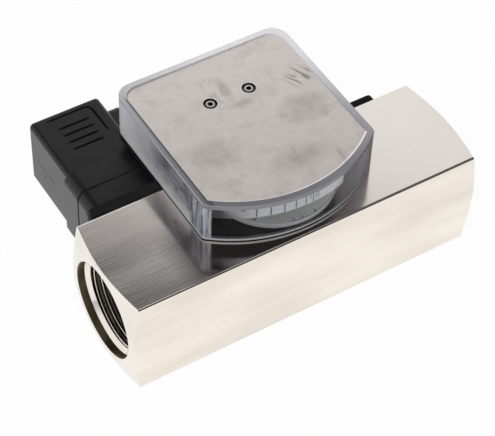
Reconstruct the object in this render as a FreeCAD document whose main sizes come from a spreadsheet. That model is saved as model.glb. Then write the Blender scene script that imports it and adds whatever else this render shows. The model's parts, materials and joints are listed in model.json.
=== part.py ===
import FreeCAD, Part
import math
import os
import Sketcher

# Flow meter with a spring-loaded metering piston, a magnetically driven indicator and a plug connector.
# Row frame: origin at the centre of the bar's underside, +X with the flow, +Y to the back, +Z up.
# All sizes are in millimetres.

doc = FreeCAD.newDocument("flow_meter")
sizes = doc.addObject("Spreadsheet::Sheet", "sizes")

DIMENSIONS = [
    # the bar and its passage
    ("body_length", 132.0, "length of the square bar"),
    ("body_width", 40.0, "width of the bar, front to back"),
    ("body_height", 40.0, "height of the bar"),
    ("edge_round", 0.8, "rounding of the bar's long edges"),
    ("end_face_radius", 19.4, "radius of the turned flat on each end"),
    ("end_chamfer_angle", 15.0, "slope of the turned end chamfer, degrees"),
    ("mouth_step", 0.3, "step from the thread's root to the smooth counterbore"),
    ("mouth_depth", 3.0, "depth of that counterbore"),
    ("thread_radius", 16.65, "root radius of the one inch pipe thread"),
    ("thread_length", 20.0, "length of the thread"),
    ("seat_step", 1.25, "step from the thread's root to the recess for the inner rings"),
    ("chamber_step", 0.9, "step from that recess to the piston's chamber"),
    ("chamber_length", 60.0, "length of the piston's chamber"),
    ("bolt_depth", 5.5, "reach of the housing's screws into the bar"),
    ("hole_extra", 1.0, "depth of a blind hole beyond its screw"),
    # rings at both ends of the chamber
    ("ring_thickness", 4.0, "thickness of the orifice ring and the spider"),
    ("ring_clearance", 0.05, "radial clearance of a ring in its recess"),
    ("orifice_radius", 9.0, "radius of the orifice"),
    ("orifice_bevel", 1.2, "bevel at the orifice's inlet"),
    ("clip_thickness", 1.2, "thickness of a circlip"),
    ("clip_groove_depth", 0.8, "depth of a circlip's groove"),
    ("clip_play", 0.1, "play of a circlip in its groove"),
    ("clip_band", 2.2, "radial width of a circlip"),
    ("clip_gap", 9.0, "gap between a circlip's ends"),
    ("clip_lug_radius", 2.3, "radius of a circlip's lugs"),
    ("clip_lug_hole", 0.9, "radius of the holes in the lugs"),
    # the piston
    ("piston_stroke", 10.0, "travel of the piston"),
    ("piston_seat_gap", 0.2, "gap between piston and orifice ring at rest"),
    ("metering_gap", 0.25, "radial gap between cone and orifice at rest"),
    ("nose_length", 12.5, "length of the metering cone"),
    ("nose_radius", 4.4, "radius of the cone's tip"),
    ("nose_round", 1.4, "bevel at the cone's tip"),
    ("head_radius", 11.2, "radius of the piston's head"),
    ("head_thickness", 3.0, "thickness of the piston's head"),
    ("trunk_radius", 8.6, "radius of the piston's trunk ahead of the magnet"),
    ("core_radius", 7.0, "radius of the piston's core"),
    ("fin_length", 8.0, "length of a set of guide fins"),
    ("fin_thickness", 2.0, "thickness of a guide fin"),
    ("guide_clearance", 0.3, "radial clearance of the guide fins"),
    ("magnet_radius", 12.0, "radius of the piston's ring magnet"),
    ("magnet_length", 10.0, "length of the ring magnet"),
    ("core_clearance", 0.05, "radial clearance of the pieces on the core"),
    ("guide_hub_radius", 10.0, "hub radius of the rear guide"),
    ("core_groove_depth", 1.0, "depth of the groove for the piston's clip"),
    ("piston_clip_radius", 9.2, "outer radius of the piston's clip"),
    ("piston_clip_thickness", 1.0, "thickness of the piston's clip"),
    ("core_end", 1.5, "length of the core behind the clip"),
    ("stem_radius", 4.0, "radius of the tail stem"),
    ("stem_clearance", 0.08, "radial clearance of the stem in the spider"),
    ("stem_overlap", 3.0, "how far the stem reaches through the spider's face"),
    ("spider_rim", 2.4, "width of the spider's rim"),
    ("spider_hub_radius", 6.2, "radius of the spider's hub"),
    ("spider_hub_length", 5.0, "how far the hub stands into the chamber"),
    ("spoke_width", 3.0, "width of a spoke"),
    ("spring_radius", 8.0, "mean radius of the spring"),
    ("spring_wire", 0.65, "radius of the spring's wire"),
    ("spring_turns", 6, "turns of the spring"),
    ("spring_end_gap", 0.15, "gap at each end of the spring"),
    # the indicator
    ("disc_back", 6.0, "pivot of the disc behind the bar's axis"),
    ("disc_window_gap", 0.5, "gap between the disc and the window"),
    ("disc_thickness", 2.0, "thickness of the disc"),
    ("disc_gap", 0.8, "height of the disc over the bar"),
    ("disc_hub_radius", 3.2, "radius of the disc's hub"),
    ("disc_hub_height", 4.0, "height of the hub over the disc"),
    ("disc_sweep", 96.0, "turn of the disc over the piston's stroke, degrees"),
    ("cam_lift", 0.9, "rise of the cam rim over the sweep"),
    ("cam_depth", 1.4, "depth of the cam rim below the disc's edge at rest"),
    ("pin_radius", 1.0, "radius of the pivot pin"),
    ("pin_clearance", 0.04, "radial clearance of the disc on the pin"),
    ("pin_depth", 4.0, "depth of the pin in the bar"),
    ("pin_collar_radius", 2.0, "radius of the pin's collar"),
    ("pin_top", 1.2, "length of the pin over the disc's hub"),
    ("pin_groove_depth", 0.25, "depth of the groove for the disc's clip"),
    ("disc_clip_radius", 2.3, "outer radius of the disc's clip"),
    ("disc_clip_thickness", 0.5, "thickness of the disc's clip"),
    ("disc_play", 0.05, "end play of the disc and its clip"),
    ("follower_radius", 2.4, "radius of the follower magnet"),
    ("follower_height", 3.0, "height of the follower magnet"),
    ("follower_wall", 0.8, "wall round the follower magnet"),
    ("pointer_width", 1.4, "width of the pointer"),
    ("pointer_thickness", 0.6, "thickness of the pointer"),
    ("pointer_gap", 0.4, "gap between the pointer and the magnet's cup"),
    ("pointer_inset", 0.6, "distance of the pointer's tip from the disc's edge"),
    ("pointer_rise", 5.5, "height of the pointer's upright tip"),
    # the switch beside the disc
    ("switch_length", 12.8, "length of the microswitch"),
    ("switch_depth", 6.4, "depth of the microswitch"),
    ("switch_height", 3.6, "height of the microswitch"),
    ("switch_side_gap", 1.6, "gap between the microswitch and the cover's side"),
    ("switch_gap", 1.6, "gap between the disc's edge and the microswitch"),
    ("plunger_radius", 0.6, "radius of the plunger"),
    ("plunger_clearance", 0.06, "radial clearance of the plunger"),
    ("plunger_gap", 0.35, "gap between the plunger and the cam rim"),
    ("plunger_inside", 2.0, "length of the plunger inside the switch"),
    ("switch_screw_spacing", 6.5, "spacing of the switch's screws"),
    ("switch_screw_radius", 0.8, "radius of the switch's screws"),
    ("switch_screw_head", 1.4, "radius of their heads"),
    ("switch_screw_cap", 0.9, "height of their heads"),
    ("switch_screw_depth", 3.0, "depth of the screws in the bar"),
    ("tab_length", 3.0, "length of the switch's solder tabs"),
    ("tab_width", 1.2, "width of a solder tab"),
    ("tab_thickness", 0.5, "thickness of a solder tab"),
    ("tab_spacing", 2.1, "spacing of the solder tabs"),
    # the head
    ("head_width", 64.4, "width of the clear cover"),
    ("head_back", 53.1, "back of the clear cover behind the bar's axis"),
    ("window_centre", 32.0, "centre of the window's arc behind the bar's axis"),
    ("window_radius", 49.1, "outer radius of the window"),
    ("head_height", 16.0, "height of the clear cover"),
    ("cover_wall", 1.8, "wall of the clear cover"),
    ("cover_roof", 1.2, "roof of the clear cover"),
    ("cover_back_round", 6.0, "radius of the cover's back corners"),
    ("cover_front_round", 1.9, "radius of the cover's front corners"),
    ("cover_bevel", 0.25, "bevel on the cover's top edge"),
    ("rim_width", 2.2, "width of the cover's rim round the top plate"),
    ("rim_rise", 0.5, "height of that rim above the top plate"),
    ("plate_round", 5.2, "radius of the top plate's back corners"),
    ("plate_thickness", 1.0, "thickness of the top plate"),
    ("plate_clearance", 0.1, "gap round the top plate"),
    ("plate_hole_radius", 2.25, "radius of the holes in the top plate"),
    ("seal_inset", 0.5, "inset of the cover's seal"),
    ("seal_width", 0.8, "width of the cover's seal"),
    ("seal_height", 0.6, "height of the cover's seal"),
    ("cover_screw_spacing", 14.7, "spacing of the cover screws"),
    ("cover_screw_radius", 0.95, "radius of the cover screws"),
    ("cover_screw_head", 1.55, "radius of their heads"),
    ("cover_screw_cap", 0.85, "height of their heads"),
    ("cover_screw_socket", 0.95, "corner radius of the hex sockets in their heads"),
    ("cover_screw_reach", 6.0, "reach of the cover screws into the pillars"),
    ("socket_radius", 0.72, "corner radius of the hex sockets in small screws"),
    ("socket_depth", 0.55, "depth of those sockets"),
    ("screw_clearance", 0.05, "radial clearance of a screw in its hole"),
    ("pillar_radius", 3.0, "radius of the cover's pillars"),
    ("scale_height", 4.0, "height of the scale strip"),
    ("scale_thickness", 0.3, "thickness of the scale strip"),
    ("scale_gap", 0.1, "gap between scale and window"),
    ("scale_left_angle", 38.0, "angle of the scale left of the middle, degrees"),
    ("scale_right_angle", 17.5, "angle of the scale right of the middle, degrees"),
    # the black housing behind the bar
    ("gasket_thickness", 0.5, "thickness of the housing's gasket"),
    ("gasket_inset", 0.4, "inset of that gasket"),
    ("flange_left", 58.8, "left end of the flange"),
    ("flange_right", 51.4, "right end of the flange"),
    ("flange_thickness", 1.8, "thickness of the flange"),
    ("flange_bottom", 3.0, "underside of the flange over the bar's underside"),
    ("flange_round", 2.5, "corner radius of the flange"),
    ("shelf_thickness", 2.5, "thickness of the shelf under the cover"),
    ("box_width", 44.0, "width of the wiring box"),
    ("box_depth", 21.7, "depth of the wiring box behind the flange"),
    ("box_bottom", 3.0, "underside of the wiring box"),
    ("box_wall", 2.0, "wall of the wiring box"),
    ("box_round", 2.0, "corner radius of the wiring box"),
    ("post_radius", 2.6, "radius of the lid's screw posts"),
    ("post_inset", 3.4, "inset of the lid's screws"),
    ("lid_thickness", 2.0, "thickness of the lid"),
    ("lid_lip", 1.5, "depth of the lid's lip in the box"),
    ("lid_lip_clearance", 0.15, "clearance round the lid's lip"),
    ("lid_lip_width", 1.4, "width of the lid's lip"),
    ("lid_screw_radius", 1.2, "radius of the lid's screws"),
    ("lid_screw_head", 2.2, "radius of their heads"),
    ("lid_screw_cap", 1.4, "height of their heads"),
    ("lid_screw_reach", 7.0, "reach of the lid's screws into the posts"),
    ("bolt_inset", 11.0, "left pair of the housing's screws from the box's left side"),
    ("bolt_side_gap", 1.4, "gap between the right pair's heads and the box"),
    ("bolt_margin", 0.6, "gap between the screws' heads and the box's floor and roof"),
    ("bolt_radius", 2.0, "radius of the housing's screws"),
    ("bolt_head", 3.6, "radius of their heads"),
    ("bolt_cap", 2.4, "height of their heads"),
    ("bolt_socket", 1.6, "corner radius of their hex sockets"),
    # the plug connector
    ("plug_gap", 3.7, "gap between the wiring box and the connector's base"),
    ("plug_height", 20.0, "plug's axis over the bar's underside"),
    ("socket_width", 29.4, "width of the connector's square base"),
    ("foot_left", 58.1, "left end of the foot plate under that base"),
    ("foot_gap", 0.4, "gap between the foot plate and the shelf under the cover"),
    ("foot_thickness", 1.9, "thickness of the foot plate"),
    ("socket_length", 13.3, "length of the base"),
    ("plug_round", 4.0, "radius of the plug's long edges"),
    ("plug_gasket", 0.8, "thickness of the connector's gasket"),
    ("plug_gasket_inset", 0.4, "inset of the connector's gasket"),
    ("plug_gasket_margin", 0.3, "gap between the contacts and the connector's gasket"),
    ("skirt_length", 10.0, "length of the hood's skirt"),
    ("hood_step", 1.4, "step from the skirt to the hood above it"),
    ("hood_round", 1.8, "radius of the hood's long edges"),
    ("hood_length", 37.3, "length of the hood"),
    ("hood_wall", 2.4, "wall of the hood"),
    ("hood_end_round", 1.2, "radius at the hood's far end"),
    ("hood_step_round", 0.8, "bevel at the top of the skirt"),
    ("insert_clearance", 0.3, "gap between the terminal block and the hood"),
    ("insert_length", 14.0, "length of the terminal block"),
    ("blade_width", 6.3, "width of a contact"),
    ("blade_thickness", 0.8, "thickness of a contact"),
    ("blade_length", 9.0, "length of a contact over the base"),
    ("blade_root", 4.0, "length of a contact inside the base"),
    ("blade_inset", 5.3, "inset of the contacts from the base's sides"),
    ("blade_clearance", 0.15, "clearance round a contact in its slot"),
    ("plug_screw_radius", 1.5, "radius of the plug's screw"),
    ("plug_screw_clearance", 0.2, "radial clearance of the plug's screw"),
    ("plug_screw_head", 3.0, "radius of its head"),
    ("plug_screw_cap", 2.0, "height of its head"),
    ("plug_screw_reach", 6.0, "reach of the screw into the base"),
    ("plug_screw_slot", 0.8, "width of the slot in its head"),
    ("collar_width", 20.0, "width of the gland's collar"),
    ("collar_length", 5.0, "length of the collar"),
    ("collar_round", 3.0, "corner radius of the collar"),
    ("gland_bore", 6.6, "radius of the gland's bore in the collar"),
    ("gland_seal_clearance", 0.1, "radial clearance of the seal in the collar"),
    ("cable_radius", 3.6, "radius of the hole for the cable"),
    ("gland_nut_across", 19.0, "width of the gland nut across its flats"),
    ("gland_nut_length", 9.0, "length of the gland nut"),
    ("gland_nut_hole", 4.4, "radius of the hole in the gland nut"),
]

for row, (alias, amount, meaning) in enumerate(DIMENSIONS, start=1):
    sizes.set(f"A{row}", meaning)
    sizes.set(f"B{row}", str(amount))
    sizes.setAlias(f"B{row}", alias)
doc.recompute()

# Places that several pieces share, as expressions of the sheet.
BAR_MIDDLE = "sizes.body_height / 2"
BAR_TOP = "sizes.body_height"
BAR_BACK = "sizes.body_width / 2"
SEAT_END = "(sizes.chamber_length / 2)"
RING_END = f"({SEAT_END} + sizes.ring_thickness)"
GROOVE_END = f"({RING_END} + sizes.clip_thickness + sizes.clip_play)"
THREAD_INNER = "(sizes.body_length / 2 - sizes.mouth_depth - sizes.thread_length)"
MOUTH_RADIUS = "(sizes.thread_radius + sizes.mouth_step)"
SEAT_RADIUS = "(sizes.thread_radius - sizes.seat_step)"
CHAMBER_RADIUS = f"({SEAT_RADIUS} - sizes.chamber_step)"
GROOVE_RADIUS = f"({SEAT_RADIUS} + sizes.clip_groove_depth)"
RING_RADIUS = f"({SEAT_RADIUS} - sizes.ring_clearance)"
FIN_RADIUS = f"({CHAMBER_RADIUS} - sizes.guide_clearance)"
PISTON_PLACE = f"(sizes.piston_seat_gap - {SEAT_END})"
# the ring magnet swings evenly to both sides of the disc's pivot
MAGNET_START = f"(-{PISTON_PLACE} - sizes.piston_stroke / 2 - sizes.magnet_length / 2)"
GUIDE_START = f"({MAGNET_START} + sizes.magnet_length)"
CLIP_START = f"({GUIDE_START} + sizes.fin_length)"
CORE_STOP = f"({CLIP_START} + sizes.piston_clip_thickness + sizes.core_end)"
HALF_SWEEP = "(sizes.disc_sweep / 2)"
FOLLOWER_ARM = f"(sizes.piston_stroke / 2 / sin({HALF_SWEEP}))"
FOLLOWER_X = "(-sizes.piston_stroke / 2)"
FOLLOWER_Y = f"(-sizes.piston_stroke / 2 / tan({HALF_SWEEP}))"
DISC_FLOOR = "(sizes.body_height + sizes.disc_gap)"
DISC_MIDDLE = f"({DISC_FLOOR} + sizes.disc_thickness / 2)"
DISC_TOP = f"({DISC_FLOOR} + sizes.disc_thickness)"
HUB_TOP = f"({DISC_TOP} + sizes.disc_hub_height)"
CLIP_FLOOR = f"({HUB_TOP} + sizes.disc_play)"
SIDE_SPACE = "(sizes.head_width / 2 - sizes.cover_wall - sizes.switch_side_gap - sizes.switch_depth)"
FRONT_SPACE = "(sizes.disc_back - sizes.window_centre + sizes.window_radius - sizes.cover_wall)"
DISC_RADIUS = (f"min({SIDE_SPACE} - sizes.switch_gap; "
               f"{FRONT_SPACE} - sizes.disc_window_gap)")
POINTER_TIP = f"({DISC_RADIUS} - sizes.pointer_inset)"
SWITCH_FACE = f"({DISC_RADIUS} + sizes.switch_gap)"
SWITCH_MIDDLE = f"({SWITCH_FACE} + sizes.switch_depth / 2)"
ROOF_TOP = "(sizes.body_height + sizes.head_height - sizes.plate_thickness)"
ROOF_UNDER = f"({ROOF_TOP} - sizes.cover_roof)"
FLANGE_FRONT = f"({BAR_BACK} + sizes.gasket_thickness)"
FLANGE_BACK = f"({FLANGE_FRONT} + sizes.flange_thickness)"
BOX_BACK = f"({FLANGE_BACK} + sizes.box_depth)"
SHELF_UNDER = "(sizes.body_height - sizes.shelf_thickness)"
SOCKET_END = f"({FLANGE_BACK} + sizes.socket_length)"
HOOD_START = f"({SOCKET_END} + sizes.plug_gasket)"
HOOD_END = f"({HOOD_START} + sizes.hood_length)"
GLAND_MIDDLE = f"({HOOD_START} + sizes.skirt_length + (sizes.hood_length - sizes.skirt_length) / 2)"
PLUG_LEFT = "(sizes.box_width / 2 + sizes.plug_gap + sizes.socket_width / 2)"
HOOD_WIDTH = "(sizes.socket_width - 2 * sizes.hood_step)"
CAVITY_WIDTH = f"({HOOD_WIDTH} - 2 * sizes.hood_wall)"
BLADE_OFFSET = "(sizes.socket_width / 2 - sizes.blade_inset)"
COLLAR_END = f"({HOOD_WIDTH} / 2 + sizes.collar_length - {PLUG_LEFT})"

PIECES = []


def number(expression):
    """Value of an expression of the sheet."""
    return float(sizes.evalExpression(str(expression)))


def new_piece(label):
    """Starts the body of one sub-part."""
    body = doc.addObject("PartDesign::Body", label)
    body.Label = label
    PIECES.append(body)
    return body


def datum(body, role):
    """One of the planes or axes of a body's own origin."""
    return next(item for item in body.Origin.OriginFeatures if item.Role == role)


def new_sketch(body, role, level="0"):
    """Sketch on an origin plane, moved along the plane's normal to a level."""
    sketch = body.newObject("Sketcher::SketchObject", f"{body.Name}_sketch")
    sketch.AttachmentSupport = [(datum(body, role), "")]
    sketch.MapMode = "FlatFace"
    sketch.setExpression("AttachmentOffset.Base.z", str(level))
    return sketch


def hold(sketch, geometry, point, x, y):
    """Ties a point of a sketch to a place given by two expressions."""
    for kind, expression in (("DistanceX", x), ("DistanceY", y)):
        rule = Sketcher.Constraint(kind, -1, 1, geometry, point, number(expression))
        index = sketch.addConstraint(rule)
        sketch.setExpression(f"Constraints[{index}]", str(expression))


def circle(sketch, x, y, radius):
    """Full circle about a held centre."""
    centre = FreeCAD.Vector(number(x), number(y), 0)
    shape = Part.Circle(centre, FreeCAD.Vector(0, 0, 1), number(radius))
    index = sketch.addGeometry(shape, False)
    hold(sketch, index, 3, x, y)
    rule = sketch.addConstraint(Sketcher.Constraint("Radius", index, number(radius)))
    sketch.setExpression(f"Constraints[{rule}]", str(radius))


def axis_line(sketch, start, end):
    """Construction line between two held points, for a turned feature to go round."""
    near, far = (FreeCAD.Vector(number(x), number(y), 0) for x, y in (start, end))
    index = sketch.addGeometry(Part.LineSegment(near, far), True)
    hold(sketch, index, 1, *start)
    hold(sketch, index, 2, *end)


def arc_between(start, end, radius):
    """Short arc that runs counter-clockwise from start to end."""
    half = (end - start) * 0.5
    rise = math.sqrt(max(radius ** 2 - half.Length ** 2, 0.0))
    centre = start + half + FreeCAD.Vector(-half.y, half.x, 0).normalize() * rise
    round_edge = Part.Circle(centre, FreeCAD.Vector(0, 0, 1), radius)
    first = math.atan2(start.y - centre.y, start.x - centre.x)
    last = math.atan2(end.y - centre.y, end.x - centre.x)
    return Part.ArcOfCircle(round_edge, first, last)


def outline(sketch, corners, arcs=None):
    """Closed outline through held corners; a side named in arcs has a radius and runs counter-clockwise,
    or clockwise where the radius expression starts with a minus sign."""
    arcs = arcs or {}
    places = [FreeCAD.Vector(number(x), number(y), 0) for x, y in corners]
    count = len(corners)
    ends = []
    for side in range(count):
        start, end = places[side], places[(side + 1) % count]
        if side not in arcs:
            ends.append((sketch.addGeometry(Part.LineSegment(start, end), False), 1, 2))
            continue
        clockwise = str(arcs[side]).startswith("-")
        radius = str(arcs[side]).lstrip("-")
        near, far = (end, start) if clockwise else (start, end)
        index = sketch.addGeometry(arc_between(near, far, number(radius)), False)
        rule = sketch.addConstraint(Sketcher.Constraint("Radius", index, number(radius)))
        sketch.setExpression(f"Constraints[{rule}]", radius)
        ends.append((index, 2, 1) if clockwise else (index, 1, 2))
    for side in range(count):
        geometry, _, last = ends[side]
        following, first, _ = ends[(side + 1) % count]
        sketch.addConstraint(Sketcher.Constraint("Coincident", geometry, last, following, first))
    for side, (x, y) in enumerate(corners):
        hold(sketch, ends[side][0], ends[side][1], x, y)


def rectangle(sketch, left, right, low, high):
    """Upright rectangle between four expressions."""
    outline(sketch, [(left, low), (right, low), (right, high), (left, high)])


def square(sketch, width, x="0", y="0", depth=None):
    """Rectangle of a given width and depth about a middle."""
    depth = depth or width
    rectangle(sketch, f"{x} - ({width}) / 2", f"{x} + ({width}) / 2",
              f"{y} - ({depth}) / 2", f"{y} + ({depth}) / 2")


def rounded_square(sketch, width, corner):
    """Square about the sketch's origin with round corners."""
    far = f"({width}) / 2"
    near = f"(({width}) / 2 - ({corner}))"
    outline(sketch, [(f"-{near}", f"-{far}"), (near, f"-{far}"), (far, f"-{near}"), (far, near),
                     (near, far), (f"-{near}", far), (f"-{far}", near), (f"-{far}", f"-{near}")],
            {1: corner, 3: corner, 5: corner, 7: corner})


def hexagon(sketch, corner_radius, x="0", y="0"):
    """Hexagon with a corner on the sketch's first axis."""
    turns = [60 * step for step in range(6)]
    outline(sketch, [(f"{x} + ({corner_radius}) * cos({turn})", f"{y} + ({corner_radius}) * sin({turn})")
                     for turn in turns])


def feature(body, kind, sketch, length=None, backwards=False, symmetric=False):
    """Pad or Pocket of a sketch; a Pocket without a length goes through everything."""
    item = body.newObject(f"PartDesign::{kind}", f"{body.Name}_{kind.lower()}")
    item.Profile = sketch
    if length is None:
        item.Type = "ThroughAll"
    else:
        item.setExpression("Length", str(length))
    if symmetric:
        item.SideType = "Symmetric"
    item.Reversed = backwards
    sketch.Visibility = False
    doc.recompute()
    return item


def pad(body, sketch, length, backwards=False, symmetric=False):
    return feature(body, "Pad", sketch, length, backwards, symmetric)


def pocket(body, sketch, length=None, backwards=False, symmetric=False):
    """Cut that has to take something away, so its volume is compared."""
    before = body.Shape.Volume
    item = feature(body, "Pocket", sketch, length, backwards, symmetric)
    if item.Shape.Volume > before - 1e-6:
        raise ValueError(f"{item.Name} cuts nothing")
    return item


def turned(body, corners, axis="X_Axis", kind="Revolution", arcs=None):
    """Turned shape: a profile of axial place and radius about the X or the Z axis of the body."""
    sketch = new_sketch(body, "XZ_Plane")
    if axis == "Z_Axis":
        corners = [(radius, place) for place, radius in corners]
    outline(sketch, corners, arcs)
    item = body.newObject(f"PartDesign::{kind}", f"{body.Name}_{kind.lower()}")
    item.Profile = sketch
    item.ReferenceAxis = (datum(body, axis), [""])
    item.Angle = 360
    sketch.Visibility = False
    doc.recompute()
    return item


def repeat(body, item, axis, count):
    """Copies of a feature round an axis of the body."""
    pattern = body.newObject("PartDesign::PolarPattern", f"{body.Name}_pattern")
    pattern.Originals = [item]
    pattern.Axis = (datum(body, axis), [""])
    pattern.Angle = 360
    pattern.Occurrences = count
    body.Tip = pattern
    doc.recompute()
    return pattern


def edges_along(shape, direction, test=lambda edge: True):
    """Names of the straight edges along a direction that pass a test."""
    names = []
    for index, edge in enumerate(shape.Edges, start=1):
        if edge.Curve.TypeId != "Part::GeomLine":
            continue
        if abs(abs(edge.Curve.Direction.dot(direction)) - 1) < 1e-6 and test(edge):
            names.append(f"Edge{index}")
    return names


def soften(body, names, radius, kind="Fillet"):
    """Fillet or Chamfer on named edges of the body's last feature."""
    item = body.newObject(f"PartDesign::{kind}", f"{body.Name}_{kind.lower()}")
    item.Base = (body.Tip if body.Tip.Name != item.Name else item.BaseFeature, names)
    item.setExpression("Radius" if kind == "Fillet" else "Size", str(radius))
    doc.recompute()
    return item


def place(body, x="0", y="0", z="0", turn=None):
    """Puts a body in the row frame; turn is a rotation about its own origin."""
    body.Placement = FreeCAD.Placement(FreeCAD.Vector(), turn or FreeCAD.Rotation())
    for axis, expression in (("x", x), ("y", y), ("z", z)):
        body.setExpression(f"Placement.Base.{axis}", str(expression))
    doc.recompute()


X_WAY = FreeCAD.Vector(1, 0, 0)
Y_WAY = FreeCAD.Vector(0, 1, 0)
Z_WAY = FreeCAD.Vector(0, 0, 1)
TURN_BACK = FreeCAD.Rotation(X_WAY, -90)


def edge_point(edge):
    return edge.CenterOfMass


def make_flow_body():
    """Square bar along X about the bore's axis, with turned ends and the stepped passage."""
    body = new_piece("flow_body")
    section = new_sketch(body, "YZ_Plane")
    square(section, "sizes.body_width", depth="sizes.body_height")
    bar = pad(body, section, "sizes.body_length", symmetric=True)
    soften(body, edges_along(bar.Shape, X_WAY), "sizes.edge_round")

    beyond = "(0.75 * max(sizes.body_width; sizes.body_height))"
    slope = f"(({beyond} - sizes.end_face_radius) * tan(sizes.end_chamfer_angle))"
    end = "sizes.body_length / 2"
    for sign in ("", "-"):
        turned(body, [(f"{sign}({end})", "sizes.end_face_radius"), (f"{sign}({end})", beyond),
                      (f"{sign}({end} - {slope})", beyond)], kind="Groove")

    steps = [(end, MOUTH_RADIUS),
             (f"{end} - sizes.mouth_depth", MOUTH_RADIUS),
             (f"{end} - sizes.mouth_depth", "sizes.thread_radius"),
             (THREAD_INNER, "sizes.thread_radius"),
             (THREAD_INNER, SEAT_RADIUS),
             (GROOVE_END, SEAT_RADIUS),
             (GROOVE_END, GROOVE_RADIUS),
             (RING_END, GROOVE_RADIUS),
             (RING_END, SEAT_RADIUS),
             (SEAT_END, SEAT_RADIUS),
             (SEAT_END, CHAMBER_RADIUS)]
    inlet = [(f"-({along})", radius) for along, radius in steps]
    profile = [(f"-({end})", "0")] + inlet + steps[::-1] + [(end, "0")]
    turned(body, profile, kind="Groove")

    pin_hole = new_sketch(body, "XY_Plane", BAR_MIDDLE)
    circle(pin_hole, "0", "sizes.disc_back", "sizes.pin_radius + sizes.ring_clearance")
    pocket(body, pin_hole, "sizes.pin_depth")

    switch_holes = new_sketch(body, "XY_Plane", BAR_MIDDLE)
    for sign in ("-", "+"):
        circle(switch_holes, f"-{SWITCH_MIDDLE}", f"sizes.disc_back {sign} sizes.switch_screw_spacing / 2",
               "sizes.switch_screw_radius + sizes.screw_clearance")
    pocket(body, switch_holes, "sizes.switch_screw_depth + sizes.hole_extra")

    bolt_holes = new_sketch(body, "XZ_Plane", f"-{BAR_BACK}")
    for across, up in bolt_places():
        circle(bolt_holes, across, f"{up} - {BAR_MIDDLE}", "sizes.bolt_radius + sizes.screw_clearance")
    pocket(body, bolt_holes, "sizes.bolt_depth + sizes.hole_extra", backwards=True)
    place(body, z=BAR_MIDDLE)


def bolt_places():
    """Places of the housing's four screws, across and up."""
    left = "(sizes.bolt_inset - sizes.box_width / 2)"
    right = "(sizes.box_width / 2 + sizes.bolt_side_gap + sizes.bolt_head)"
    low = "(sizes.box_bottom + sizes.box_wall + sizes.bolt_margin + sizes.bolt_head)"
    high = f"({SHELF_UNDER} - sizes.box_wall - sizes.bolt_margin - sizes.bolt_head)"
    return [(across, up) for across in (left, right) for up in (low, high)]


def make_orifice_ring():
    """Ring with a bevelled hole; its downstream face is the piston's seat."""
    body = new_piece("orifice_ring")
    turned(body, [("0", "sizes.orifice_radius + sizes.orifice_bevel"),
                  ("sizes.orifice_bevel", "sizes.orifice_radius"),
                  ("sizes.ring_thickness", "sizes.orifice_radius"),
                  ("sizes.ring_thickness", RING_RADIUS), ("0", RING_RADIUS)])
    place(body, x=f"-{RING_END}", z=BAR_MIDDLE)


def make_circlip(label, start):
    """Internal circlip: a band with a gap at the bottom and two lugs with holes."""
    body = new_piece(label)
    outer = f"({GROOVE_RADIUS} - sizes.clip_play)"
    inner = f"({outer} - sizes.clip_band)"
    lug_down = f"-({inner} - sizes.clip_lug_radius)"
    lug_side = "(sizes.clip_gap / 2 + sizes.clip_lug_radius * 0.7)"
    band = new_sketch(body, "YZ_Plane")
    circle(band, "0", "0", outer)
    circle(band, "0", "0", inner)
    pad(body, band, "sizes.clip_thickness")
    lugs = new_sketch(body, "YZ_Plane")
    for sign in ("-", ""):
        circle(lugs, f"{sign}{lug_side}", lug_down, "sizes.clip_lug_radius")
    pad(body, lugs, "sizes.clip_thickness")
    gap = new_sketch(body, "YZ_Plane")
    rectangle(gap, "-sizes.clip_gap / 2", "sizes.clip_gap / 2", f"-{outer} - 1", "0 - sizes.core_radius")
    for sign in ("-", ""):
        circle(gap, f"{sign}{lug_side}", lug_down, "sizes.clip_lug_hole")
    pocket(body, gap, "sizes.clip_thickness", backwards=True)
    place(body, x=start, z=BAR_MIDDLE)


def add_fins(body, start, inner):
    """Four guide fins from an inner radius to the chamber's wall."""
    section = new_sketch(body, "XY_Plane")
    rectangle(section, start, f"{start} + sizes.fin_length", inner, FIN_RADIUS)
    fin = pad(body, section, "sizes.fin_thickness", symmetric=True)
    repeat(body, fin, "X_Axis", 4)


def make_metering_piston():
    """Cone, head, core and tail stem in one turned piece, with the front guide fins."""
    body = new_piece("metering_piston")
    cone_radius = "sizes.orifice_radius - sizes.metering_gap"
    groove = "sizes.core_radius - sizes.core_groove_depth"
    clip_end = f"{CLIP_START} + sizes.piston_clip_thickness"
    stem_end = f"{RING_END} + sizes.stem_overlap - sizes.ring_thickness - {PISTON_PLACE}"
    turned(body, [("-sizes.nose_length", "0"),
                  ("-sizes.nose_length", "sizes.nose_radius - sizes.nose_round"),
                  ("-sizes.nose_length + sizes.nose_round", "sizes.nose_radius"),
                  ("0", cone_radius), ("0", "sizes.head_radius"),
                  ("sizes.head_thickness", "sizes.head_radius"),
                  ("sizes.head_thickness", "sizes.trunk_radius"),
                  (MAGNET_START, "sizes.trunk_radius"), (MAGNET_START, "sizes.core_radius"),
                  (CLIP_START, "sizes.core_radius"), (CLIP_START, groove),
                  (clip_end, groove), (clip_end, "sizes.core_radius"),
                  (CORE_STOP, "sizes.core_radius"), (CORE_STOP, "sizes.stem_radius"),
                  (stem_end, "sizes.stem_radius"), (stem_end, "0")])
    add_fins(body, "sizes.head_thickness", "sizes.core_radius")
    place(body, x=PISTON_PLACE, z=BAR_MIDDLE)


def make_piston_magnet():
    body = new_piece("piston_magnet")
    bore = "sizes.core_radius + sizes.core_clearance"
    edge = "sizes.core_clearance"
    turned(body, [(edge, bore), (f"sizes.magnet_length - {edge}", bore),
                  (f"sizes.magnet_length - {edge}", "sizes.magnet_radius"), (edge, "sizes.magnet_radius")])
    place(body, x=f"{PISTON_PLACE} + {MAGNET_START}", z=BAR_MIDDLE)


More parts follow.
